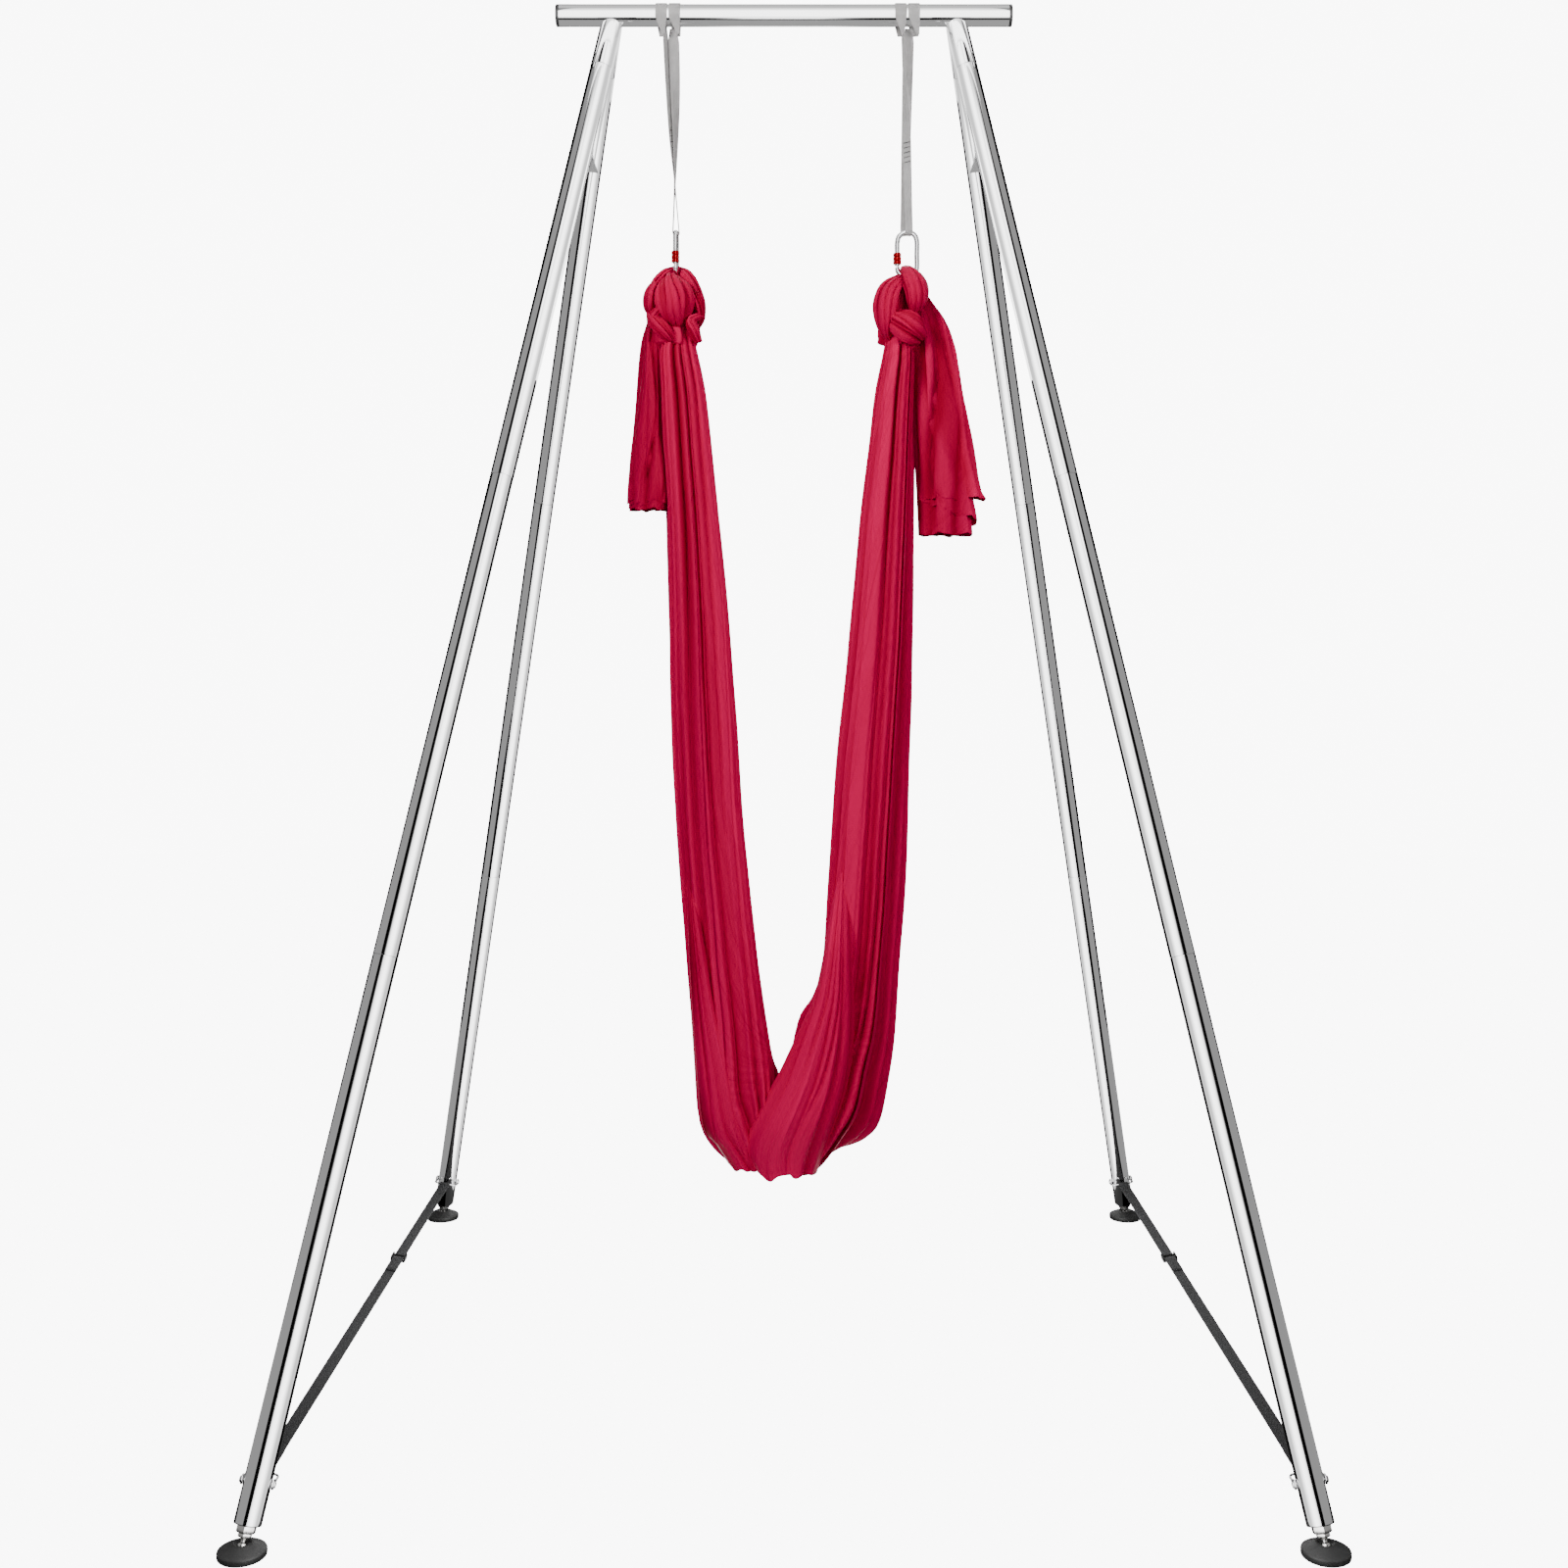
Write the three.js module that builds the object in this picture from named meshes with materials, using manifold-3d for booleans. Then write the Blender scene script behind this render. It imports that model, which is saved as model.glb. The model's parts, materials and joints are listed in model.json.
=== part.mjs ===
import * as THREE from 'three';
import { mergeVertices } from 'three/addons/utils/BufferGeometryUtils.js';
import Module from 'manifold-3d';

// Freestanding rig for an aerial silk hammock: a crossbar on four splayed tubular legs, two
// webbing slings with screw-gate carabiners, a knotted silk and two webbing leg straps.
// Millimetres, +Z up, the floor at z = 0, the middle of the rig at x = y = 0, the front at -Y.

// Frame tubes
const barHeight = 2926;
const barLength = 1000;
const tubeRadius = 24;
const tubeWall = 2;
const legInset = 120;
const crossingDrop = 28;
const footSpreadX = 919;
const footSpreadY = 900;
const stubLength = 104;
const sectionCount = 3;
const spigotLength = 60;
const stubSpigotLength = 28;
const spigotTaper = 8;
const fitGap = 0.3;
const capFlange = 7;
const capPlug = 18;

// Levelling feet
const insertPlug = 14;
const insertHexRadius = 17.5;
const insertHexHeight = 13;
const jamNutRadius = 12.5;
const jamNutHeight = 7;
const studRadius = 7;
const studNeckRadius = 5;
const studNeckLength = 11;
const studReach = 60;
const studShow = 15;
const ballRadius = 9;
const padRadius = 42;
const padEdge = 2;
const padRim = 12;
const padHeight = 23;
const padTopRadius = 16;
const padMouthRadius = 13;
const ballHeight = 16;
const cupGap = 0.5;
const cupLip = 3.8;

// Bails and their pins
const pinSetback = 67;
const pinRadius = 3.5;
const pinHeadRadius = 5.5;
const pinHeadHeight = 2.5;
const bailWire = 2;
const bailEyeRadius = 7;
const bailSideGap = 1;
const bailReach = 36;
const bailCorner = 8;

// Leg straps and buckles
const strapWidth = 25;
const strapThickness = 2;
const strapLoopTaper = 16;
const strapFoldLength = 90;
const strapTailLength = 95;
const buckleOffset = 260;
const buckleBar = 4;
const buckleRail = 4;
const buckleLength = 30;

// Slings
const leftSlingSetback = 126;
const rightSlingSetback = 110;
const slingWidth = 25;
const slingThickness = 2;
const slingBottomWidth = 17;
const bandSplit = 3.6;
const bandGap = 0.4;
const throatHeight = 20;
const throatDepth = 16;
const throatTip = 10;
const slingDrop = 476;
const leftSlingLean = 17;

// Carabiners: the origin of each is the middle of the wire at the top of its bow
const wireRadius = 5.5;
const eyeHalfWidth = 21.5;
const eyeHeight = 97;
const noseShoulder = 24;
const noseTip = 42;
const gatePivot = 80;
const gateRadius = 5.2;
const gateRise = 5.8;
const forkRise = 2.6;
const forkSlot = 4;
const forkDepth = 6;
const tongueRadius = 4.6;
const tongueThickness = 3.4;
const rivetRadius = 1.6;
const gateGap = 0.6;
const sleeveInner = 6;
const sleeveOuter = 8.6;
const sleeveLength = 25;
const sleeveStart = 45.5;
const sleeveChamfer = 1;

// Silk
const knotBelow = 243;
const knotHeight = 135;
const leftKnotInset = 11;
const rightKnotInset = 13;
const leftKnotHalfWidth = 66;
const rightKnotHalfWidth = 61;
const knotHalfDepth = 55;
const knotPleats = 7;
const silkGap = 0.5;
const silkDrop = 1838;
const silkHalfDepth = 46;
const silkFolds = 10;
const tailFolds = 6;
const leftTailDrop = 365;
const rightTailDrop = 420;

// Facets
const tubeSides = 16;
const roundSides = 12;
const wireSides = 8;
const cutOverrun = 5;

const wasm = await Module();
wasm.setup();

const hexSides = 6;
const quarter = Math.PI / 2;
const legSpreadTop = barLength / 2 - legInset;
const leftHitch = legSpreadTop - leftSlingSetback;
const rightHitch = legSpreadTop - rightSlingSetback;
const boreRadius = tubeRadius - tubeWall;
const up = new THREE.Vector3(0, 0, 1);

function vec(x, y, z) {
  return new THREE.Vector3(x, y, z);
}

// Keeps only the places, welds them and drops triangles that have no area.
function weld(geometry) {
  const bare = geometry.clone();
  bare.deleteAttribute('normal');
  bare.deleteAttribute('uv');
  const welded = mergeVertices(bare);
  const corners = welded.index.array;
  const kept = [];
  for (let i = 0; i < corners.length; i += 3) {
    const [a, b, c] = corners.slice(i, i + 3);
    if (a !== b && b !== c && c !== a) kept.push(a, b, c);
  }
  welded.setIndex(kept);
  return welded;
}

function signedVolume(geometry) {
  const places = geometry.attributes.position;
  const corners = geometry.index.array;
  const points = [vec(0, 0, 0), vec(0, 0, 0), vec(0, 0, 0)];
  let total = 0;
  for (let i = 0; i < corners.length; i += 3) {
    points.forEach((point, k) => point.fromBufferAttribute(places, corners[i + k]));
    total += points[0].dot(points[1].cross(points[2]));
  }
  return total;
}

// Turns a closed surface's faces outwards.
function outward(geometry) {
  const welded = weld(geometry);
  if (signedVolume(welded) < 0) {
    welded.setIndex(Array.from(welded.index.array).reverse());
  }
  welded.computeVertexNormals();
  return welded;
}

function solid(geometry) {
  const closed = outward(geometry);
  return new wasm.Manifold(new wasm.Mesh({
    numProp: 3,
    vertProperties: new Float32Array(closed.attributes.position.array),
    triVerts: new Uint32Array(closed.index.array),
  }));
}

function surface(body) {
  const mesh = body.getMesh();
  const geometry = new THREE.BufferGeometry();
  geometry.setAttribute('position', new THREE.BufferAttribute(mesh.vertProperties, 3));
  geometry.setIndex(new THREE.BufferAttribute(mesh.triVerts, 1));
  geometry.computeVertexNormals();
  return geometry;
}

function joined(...geometries) {
  return geometries.map(solid).reduce((whole, piece) => whole.add(piece));
}

// A shape turned about the Z axis from [radius, height] pairs.
function turned(profile, sides) {
  const points = profile.map(([radius, height]) => new THREE.Vector2(radius, height));
  return outward(new THREE.LatheGeometry(points, sides).rotateX(quarter));
}

// A plain or hexagonal bar along Z between two heights.
function bar(radius, low, high, sides) {
  const geometry = new THREE.CylinderGeometry(radius, radius, high - low, sides);
  return geometry.rotateX(quarter).translate(0, 0, (low + high) / 2);
}

// The corner radius at which a polygon's flats lie at the given radius.
function around(radius, sides) {
  return radius / Math.cos(Math.PI / sides);
}

// A box between two corners.
function block(low, high) {
  const size = high.clone().sub(low);
  const middle = low.clone().add(high).multiplyScalar(1 / 2);
  return new THREE.BoxGeometry(size.x, size.y, size.z).translate(middle.x, middle.y, middle.z);
}

// A round wire swept along a curve.
function sweep(curve, radius, sides, steps) {
  const section = new THREE.Shape();
  for (let i = 0; i < sides; i += 1) {
    const angle = (2 * Math.PI * i) / sides;
    const point = [radius * Math.cos(angle), radius * Math.sin(angle)];
    if (i === 0) section.moveTo(...point);
    else section.lineTo(...point);
  }
  section.closePath();
  return outward(new THREE.ExtrudeGeometry(section, { steps, extrudePath: curve }));
}

// A closed skin over a row of rings that all have the same number of points.
function loft(rings) {
  const count = rings[0].length;
  const places = [];
  const corners = [];
  rings.forEach((ring) => ring.forEach((point) => places.push(...point.toArray())));
  for (let r = 0; r + 1 < rings.length; r += 1) {
    for (let i = 0; i < count; i += 1) {
      const a = r * count + i;
      const b = r * count + ((i + 1) % count);
      corners.push(a, b, b + count, a, b + count, a + count);
    }
  }
  [0, rings.length - 1].forEach((r, end) => {
    const middle = rings[r].reduce((sum, point) => sum.add(point), vec(0, 0, 0));
    const hub = places.length / 3;
    places.push(...middle.divideScalar(count).toArray());
    for (let i = 0; i < count; i += 1) {
      const edge = [r * count + i, r * count + ((i + 1) % count)];
      corners.push(hub, edge[1 - end], edge[end]);
    }
  });
  const geometry = new THREE.BufferGeometry();
  geometry.setAttribute('position', new THREE.Float32BufferAttribute(places, 3));
  geometry.setIndex(corners);
  return outward(geometry);
}

const rig = new THREE.Group();

const steel = { color: 0xc9cacc, roughness: 0.14, metalness: 1 };
const zinc = { color: 0xd8d8d6, roughness: 0.22, metalness: 1 };
const blackPlastic = { color: 0x121212, roughness: 0.45, metalness: 0 };
const rubber = { color: 0x2a2a2a, roughness: 0.6, metalness: 0 };
const blackWebbing = { color: 0x1c1c1d, roughness: 0.85, metalness: 0 };
const greyWebbing = { color: 0xbfbdb9, roughness: 0.85, metalness: 0 };
const redAnodised = { color: 0xc81e2c, roughness: 0.3, metalness: 0.8 };
const silk = { color: 0xb0123e, roughness: 0.5, metalness: 0 };

function addPiece(parent, name, geometry, finish) {
  const mesh = new THREE.Mesh(geometry, new THREE.MeshStandardMaterial(finish));
  mesh.name = name;
  parent.add(mesh);
  return mesh;
}

// Crossbar with its end caps. Local Z runs along the bar.
const barGroup = new THREE.Group();
barGroup.position.set(0, 0, barHeight);
barGroup.rotation.y = quarter;
rig.add(barGroup);

const barEnd = barLength / 2 - capFlange;
addPiece(barGroup, 'crossbar', turned([
  [tubeRadius, -barEnd],
  [tubeRadius, barEnd],
  [boreRadius, barEnd],
  [boreRadius, -barEnd],
  [tubeRadius, -barEnd],
], tubeSides), steel);

function endCap() {
  const plugRadius = boreRadius - fitGap;
  return turned([
    [0, barEnd - capPlug],
    [plugRadius, barEnd - capPlug],
    [plugRadius, barEnd + fitGap],
    [tubeRadius, barEnd + fitGap],
    [tubeRadius, barLength / 2],
    [0, barLength / 2],
  ], tubeSides);
}

addPiece(barGroup, 'end_cap_right', endCap(), blackPlastic);
addPiece(barGroup, 'end_cap_left', endCap(), blackPlastic).rotation.x = Math.PI;

// Each leg runs down local Z from the point where the leg axes cross below the bar. Local Y
// points inwards, square to the leg, and local X is the line of the bail pin.
const crossingHeight = barHeight - crossingDrop;
const legVector = vec(footSpreadX - legSpreadTop, footSpreadY, ballHeight - crossingHeight);
const legLength = legVector.length();
const footStack = insertHexHeight + jamNutHeight + studShow;
const sectionLength = (legLength - stubLength - footStack) / sectionCount;
const tubeEnd = legLength - footStack;
const pinPlace = tubeEnd - pinSetback;

function legAxes(sideX, sideY) {
  const down = legVector.clone().multiply(vec(sideX, sideY, 1)).normalize();
  const inward = vec(0, -sideY, 0);
  const square = inward.clone().addScaledVector(down, -inward.dot(down)).normalize();
  const pinLine = square.clone().cross(down);
  return { down, inward, square, pinLine };
}

function legFrame(sideX, sideY) {
  const { down, square, pinLine } = legAxes(sideX, sideY);
  const matrix = new THREE.Matrix4().makeBasis(pinLine, square, down);
  return matrix.setPosition(sideX * legSpreadTop, 0, crossingHeight);
}

// A short tube coped to the bar and mitred against the stub of the opposite leg.
function stub(frame, sideY) {
  const tube = turned([
    [tubeRadius, -tubeRadius],
    [tubeRadius, stubLength - fitGap / 2],
    [boreRadius, stubLength - fitGap / 2],
    [boreRadius, -tubeRadius],
    [tubeRadius, -tubeRadius],
  ], tubeSides);
  const back = frame.clone().invert();
  const copeRadius = around(tubeRadius + fitGap, tubeSides);
  const cope = bar(copeRadius, -barLength / 2, barLength / 2, tubeSides).rotateY(quarter);
  cope.translate(0, 0, barHeight).applyMatrix4(back);
  const reach = barLength + stubLength;
  const wrongSide = block(vec(-reach, -fitGap / 2, 0), vec(reach, reach, barHeight + reach));
  if (sideY > 0) wrongSide.rotateZ(Math.PI);
  wrongSide.applyMatrix4(back);
  const pieces = solid(tube).subtract(solid(cope)).subtract(solid(wrongSide)).decompose();
  pieces.sort((a, b) => b.volume() - a.volume());
  return surface(pieces[0]);
}

// A tube section whose drawn-in upper end plugs into the tube above it.
function legSection(index) {
  const top = stubLength + index * sectionLength;
  const bottom = top + sectionLength - fitGap / 2;
  const shoulder = top + fitGap / 2;
  const spigotTop = top - (index === 0 ? stubSpigotLength : spigotLength);
  const spigotRadius = boreRadius - fitGap;
  const spigotBore = spigotRadius - tubeWall;
  return turned([
    [tubeRadius, shoulder],
    [tubeRadius, bottom],
    [boreRadius, bottom],
    [boreRadius, shoulder + spigotTaper],
    [spigotBore, shoulder],
    [spigotBore, spigotTop],
    [spigotRadius, spigotTop],
    [spigotRadius, shoulder],
    [tubeRadius, shoulder],
  ], tubeSides);
}

function drilled(section) {
  const hole = bar(around(pinRadius + fitGap, roundSides), -tubeRadius * 2, tubeRadius * 2, roundSides);
  return surface(solid(section).subtract(solid(hole.rotateY(quarter).translate(0, 0, pinPlace))));
}

function footInsert() {
  const plug = bar(boreRadius - fitGap, tubeEnd - insertPlug, tubeEnd, tubeSides);
  const hex = bar(insertHexRadius, tubeEnd - insertPlug / 2, tubeEnd + insertHexHeight, hexSides);
  const threadRadius = around(studRadius + fitGap, roundSides);
  const low = tubeEnd - insertPlug - cutOverrun;
  const thread = bar(threadRadius, low, tubeEnd + insertHexHeight + cutOverrun, roundSides);
  return surface(joined(plug, hex).subtract(solid(thread)));
}

function jamNut() {
  const top = tubeEnd + insertHexHeight + fitGap;
  const bottom = top + jamNutHeight - fitGap;
  const threadRadius = around(studRadius + fitGap, roundSides);
  const thread = bar(threadRadius, top - cutOverrun, bottom + cutOverrun, roundSides);
  return surface(solid(bar(jamNutRadius, top, bottom, hexSides)).subtract(solid(thread)));
}

// Threaded stud with the ball that sits in the pad's cup.
function footStud() {
  const profile = [
    [0, legLength - studReach],
    [studRadius, legLength - studReach],
    [studRadius, legLength - studNeckLength],
    [studNeckRadius, legLength - studNeckLength],
  ];
  const neckAngle = Math.asin(studNeckRadius / ballRadius);
  const arcSteps = 5;
  for (let i = 0; i <= arcSteps; i += 1) {
    const angle = neckAngle + ((Math.PI - neckAngle) * i) / arcSteps;
    const radius = i === arcSteps ? 0 : ballRadius * Math.sin(angle);
    profile.push([radius, legLength - ballRadius * Math.cos(angle)]);
  }
  return turned(profile, roundSides);
}

// Cone-shaped rubber pad with a cup that holds the ball. Its origin is the ball's centre.
function footPad() {
  const cupRadius = ballRadius + cupGap;
  const profile = [
    [0, -ballHeight],
    [padRadius - padEdge, -ballHeight],
    [padRadius, padEdge - ballHeight],
    [padRadius, padRim - ballHeight],
    [padTopRadius, padHeight - ballHeight],
    [padMouthRadius, padHeight - ballHeight],
  ];
  const lipAngle = Math.asin(cupLip / cupRadius);
  const arcSteps = 5;
  for (let i = 0; i <= arcSteps; i += 1) {
    const angle = lipAngle - ((lipAngle + quarter) * i) / arcSteps;
    const radius = i === arcSteps ? 0 : cupRadius * Math.cos(angle);
    profile.push([radius, cupRadius * Math.sin(angle)]);
  }
  return turned(profile, tubeSides);
}

function bailPin() {
  const grip = tubeRadius + bailSideGap + bailWire * 2 + fitGap;
  return turned([
    [0, -grip - pinHeadHeight],
    [pinHeadRadius, -grip - pinHeadHeight],
    [pinHeadRadius, -grip],
    [pinRadius, -grip],
    [pinRadius, grip],
    [pinHeadRadius, grip],
    [pinHeadRadius, grip + pinHeadHeight],
    [0, grip + pinHeadHeight],
  ], roundSides).rotateY(quarter);
}

// Wire bail: a U that carries the strap, with an eye at each end on the pin. Local X is the
// pin and local Y points to the strap.
function bail() {
  const side = tubeRadius + bailSideGap + bailWire;
  const eyeCentre = bailEyeRadius - bailWire - pinRadius - fitGap;
  const eyeTop = eyeCentre + bailEyeRadius;
  const flat = side - bailCorner;
  const path = new THREE.CurvePath();
  const bendStart = vec(-side, bailReach - bailCorner, 0);
  const bendEnd = vec(-flat, bailReach, 0);
  path.add(new THREE.LineCurve3(vec(-side, eyeTop, 0), bendStart));
  path.add(new THREE.QuadraticBezierCurve3(bendStart, vec(-side, bailReach, 0), bendEnd));
  path.add(new THREE.LineCurve3(bendEnd, vec(flat, bailReach, 0)));
  const farStart = vec(flat, bailReach, 0);
  const farEnd = vec(side, bailReach - bailCorner, 0);
  path.add(new THREE.QuadraticBezierCurve3(farStart, vec(side, bailReach, 0), farEnd));
  path.add(new THREE.LineCurve3(farEnd, vec(side, eyeTop, 0)));
  const wireSteps = 14;
  const eyeSteps = 10;
  const eyes = [-side, side].map((x) => {
    const ring = new THREE.TorusGeometry(bailEyeRadius, bailWire, hexSides, eyeSteps);
    return ring.rotateY(quarter).translate(x, eyeCentre, 0);
  });
  return surface(joined(sweep(path, bailWire, hexSides, wireSteps), ...eyes));
}

const bailFrames = {};

for (const [frontRear, sideY] of [['front', -1], ['rear', 1]]) {
  for (const [leftRight, sideX] of [['left', -1], ['right', 1]]) {
    const place = `${frontRear}_${leftRight}`;
    const frame = legFrame(sideX, sideY);
    const leg = new THREE.Group();
    leg.applyMatrix4(frame);
    rig.add(leg);
    addPiece(leg, `stub_${place}`, stub(frame, sideY), steel);
    const levels = ['upper', 'middle', 'lower'];
    levels.forEach((level, index) => {
      const section = legSection(index);
      const last = index === sectionCount - 1;
      addPiece(leg, `leg_${place}_${level}`, last ? drilled(section) : section, steel);
    });
    addPiece(leg, `foot_insert_${place}`, footInsert(), zinc);
    addPiece(leg, `jam_nut_${place}`, jamNut(), zinc);
    addPiece(leg, `foot_stud_${place}`, footStud(), zinc);
    const pad = addPiece(rig, `foot_pad_${place}`, footPad(), rubber);
    pad.position.set(sideX * footSpreadX, sideY * footSpreadY, ballHeight);
    const { down, inward, pinLine } = legAxes(sideX, sideY);
    const bailGroup = new THREE.Group();
    const basis = new THREE.Matrix4().makeBasis(pinLine, inward, pinLine.clone().cross(inward));
    const pinCentre = vec(sideX * legSpreadTop, 0, crossingHeight).addScaledVector(down, pinPlace);
    bailGroup.applyMatrix4(basis.setPosition(pinCentre));
    rig.add(bailGroup);
    addPiece(bailGroup, `bail_pin_${place}`, bailPin(), steel);
    addPiece(bailGroup, `bail_${place}`, bail(), steel);
    bailFrames[place] = { pinCentre, pinLine };
  }
}

// Leg straps. Local X runs across the webbing, local Y from the front bail to the rear one.
const strapHalf = bailFrames.rear_left.pinCentre.y - bailReach;
const strapBarGap = fitGap + 0.1 * bailWire;
const loopInner = bailWire + strapBarGap;
const loopOuter = loopInner + strapThickness;

// Side view of one strap: a loop round each bail, the sewn folds and the free tail.
function strapOutline() {
  const t = strapThickness;
  const loopSteps = 8;
  const points = [];
  const loopEnd = (sign) => {
    const startAngle = sign > 0 ? -quarter : quarter;
    for (let i = 0; i <= loopSteps; i += 1) {
      const angle = startAngle + (Math.PI * i) / loopSteps;
      points.push([sign * strapHalf + loopOuter * Math.cos(angle), loopOuter * Math.sin(angle)]);
    }
  };
  loopEnd(1);
  points.push([strapHalf - strapLoopTaper, t]);
  points.push([buckleOffset, t]);
  points.push([buckleOffset - buckleBar, t]);
  points.push([buckleOffset - buckleBar, 2 * t]);
  points.push([buckleOffset - strapTailLength, 2 * t]);
  points.push([buckleOffset - strapTailLength, t]);
  points.push([strapLoopTaper - strapHalf, t]);
  loopEnd(-1);
  points.push([strapLoopTaper - strapHalf, -t]);
  points.push([strapFoldLength - strapHalf, -t]);
  points.push([strapFoldLength - strapHalf, 0]);
  points.push([strapHalf - strapFoldLength, 0]);
  points.push([strapHalf - strapFoldLength, -t]);
  points.push([strapHalf - strapLoopTaper, -t]);
  const shape = new THREE.Shape(points.map(([y, z]) => new THREE.Vector2(y, z)));
  [-strapHalf, strapHalf].forEach((centre) => {
    const holePoints = [];
    for (let i = 0; i < 2 * loopSteps; i += 1) {
      const angle = (Math.PI * i) / loopSteps;
      const y = centre + loopInner * Math.cos(angle);
      holePoints.push(new THREE.Vector2(y, loopInner * Math.sin(angle)));
    }
    shape.holes.push(new THREE.Path(holePoints));
  });
  return shape;
}

// Extrudes a side view drawn in Y and Z to both sides of X = 0.
function acrossX(shape, width) {
  const geometry = new THREE.ExtrudeGeometry(shape, { depth: width, bevelEnabled: false });
  geometry.translate(0, 0, -width / 2);
  const turn = new THREE.Matrix4().makeBasis(vec(0, 1, 0), vec(0, 0, 1), vec(1, 0, 0));
  return outward(geometry.applyMatrix4(turn));
}

// Ladder buckle: two side rails and three bars, the middle one over the webbing.
function buckle() {
  const inner = strapWidth / 2 + fitGap;
  const outer = inner + buckleRail;
  const below = -buckleBar - fitGap;
  const above = strapThickness + fitGap + buckleBar;
  const end = buckleLength / 2;
  const rails = [-1, 1].map((side) => {
    const low = vec(side > 0 ? inner : -outer, -end, below);
    return block(low, vec(side > 0 ? outer : -inner, end, above));
  });
  const lap = buckleRail / 2;
  const bars = [-end, end - buckleBar].map((y) => {
    const low = vec(-inner - lap, y, below);
    return block(low, vec(inner + lap, y + buckleBar, -fitGap));
  });
  const middleLow = vec(-inner - lap, 0, strapThickness + fitGap);
  const middle = block(middleLow, vec(inner + lap, buckleBar, above));
  return surface(joined(...rails, ...bars, middle));
}

for (const leftRight of ['left', 'right']) {
  const { pinCentre, pinLine } = bailFrames[`rear_${leftRight}`];
  const across = pinLine.clone().multiplyScalar(Math.sign(pinLine.x));
  const along = vec(0, 1, 0);
  const matrix = new THREE.Matrix4().makeBasis(across, along, across.clone().cross(along));
  const strapGroup = new THREE.Group();
  strapGroup.applyMatrix4(matrix.setPosition(pinCentre.x, 0, pinCentre.z));
  rig.add(strapGroup);
  const webbing = acrossX(strapOutline(), strapWidth);
  addPiece(strapGroup, `strap_${leftRight}`, webbing, blackWebbing);
  addPiece(strapGroup, `buckle_${leftRight}`, buckle(), blackPlastic).position.y = buckleOffset;
}

// Carabiner wire in local X and Z: from the nose over the bow, down the spine and back up to
// the gate's fork. The shares follow half the eye's width and the eye's height.
const bowShares = [
  [-1, 0.25], [-0.82, 0.093], [-0.25, 0.008], [0.3, 0.004], [0.76, 0.06], [1, 0.2], [1, 0.5],
  [1, 0.8], [0.79, 0.935], [0.3, 0.995], [-0.2, 0.995], [-0.65, 0.95], [-0.93, 0.875],
];
const carabinerSteps = 36;

function carabinerWire(radius) {
  const points = [vec(-eyeHalfWidth, 0, -noseTip)];
  bowShares.forEach(([across, downShare]) => {
    points.push(vec(across * eyeHalfWidth, 0, -downShare * eyeHeight));
  });
  points.push(vec(-eyeHalfWidth, 0, forkRise - gatePivot));
  const curve = new THREE.CatmullRomCurve3(points, false, 'centripetal');
  return sweep(curve, radius, wireSides, carabinerSteps);
}

function rivet() {
  return bar(rivetRadius, -wireRadius, wireRadius, wireSides).rotateX(quarter);
}

function atPivot(geometry) {
  return geometry.translate(-eyeHalfWidth, 0, -gatePivot);
}

// Body with a beak at the nose, a slotted fork at the other end and a fixed rivet in it.
function carabinerBody() {
  const reach = wireRadius + cutOverrun;
  const beakLow = vec(-eyeHalfWidth - fitGap / 2, -reach, -noseTip - cutOverrun);
  const beakCut = block(beakLow, vec(0, reach, -noseShoulder));
  const slotLow = vec(-reach, -forkSlot / 2, -forkDepth);
  const slot = atPivot(block(slotLow, vec(reach, forkSlot / 2, forkRise + cutOverrun)));
  const wire = solid(carabinerWire(wireRadius));
  const forked = wire.subtract(solid(beakCut)).subtract(solid(slot));
  return surface(forked.add(solid(atPivot(rivet()))));
}

// Gate: a round bar, halved at the top to lie beside the beak, with a tongue in the fork.
function gate() {
  const foot = -gatePivot + gateRise;
  const rod = bar(gateRadius, foot, -noseShoulder - gateGap, roundSides);
  rod.translate(-eyeHalfWidth, 0, 0);
  const halfLow = vec(-eyeHalfWidth * 2, -wireRadius * 2, -noseTip - gateGap);
  const half = block(halfLow, vec(fitGap / 2 - eyeHalfWidth, wireRadius * 2, 0));
  const disc = bar(tongueRadius, -tongueThickness / 2, tongueThickness / 2, roundSides);
  const tongueTop = gateRise + cutOverrun / 2;
  const neckLow = vec(-tongueRadius * 0.7, -tongueThickness / 2, 0);
  const neck = block(neckLow, vec(tongueRadius * 0.7, tongueThickness / 2, tongueTop));
  const holeRadius = around(rivetRadius + fitGap, roundSides);
  const hole = bar(holeRadius, -wireRadius, wireRadius, roundSides).rotateX(quarter);
  const tongue = joined(atPivot(disc.rotateX(quarter)), atPivot(neck));
  const body = solid(rod).subtract(solid(half)).add(tongue);
  return surface(body.subtract(solid(atPivot(hole))));
}

function screwSleeve() {
  const low = -sleeveStart - sleeveLength;
  const inner = around(sleeveInner, tubeSides);
  return turned([
    [inner, low],
    [sleeveOuter - sleeveChamfer, low],
    [sleeveOuter, low + sleeveChamfer],
    [sleeveOuter, -sleeveStart - sleeveChamfer],
    [sleeveOuter - sleeveChamfer, -sleeveStart],
    [inner, -sleeveStart],
    [inner, low],
  ], tubeSides).translate(-eyeHalfWidth, 0, 0);
}

// Sling webbing: rectangular rings along a row of stations, each with its place, the line
// across the webbing and its width there.
function ribbon(stations) {
  return loft(stations.map(({ at, across, width }, index) => {
    const before = stations[Math.max(index - 1, 0)].at;
    const after = stations[Math.min(index + 1, stations.length - 1)].at;
    const along = after.clone().sub(before).normalize();
    const face = across.clone().cross(along).normalize();
    const side = along.clone().cross(face).normalize();
    const corners = [[1, 1], [-1, 1], [-1, -1], [1, -1]];
    return corners.map(([s, f]) => {
      const point = at.clone().addScaledVector(side, (s * width) / 2);
      return point.addScaledVector(face, (f * slingThickness) / 2);
    });
  }));
}

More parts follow.
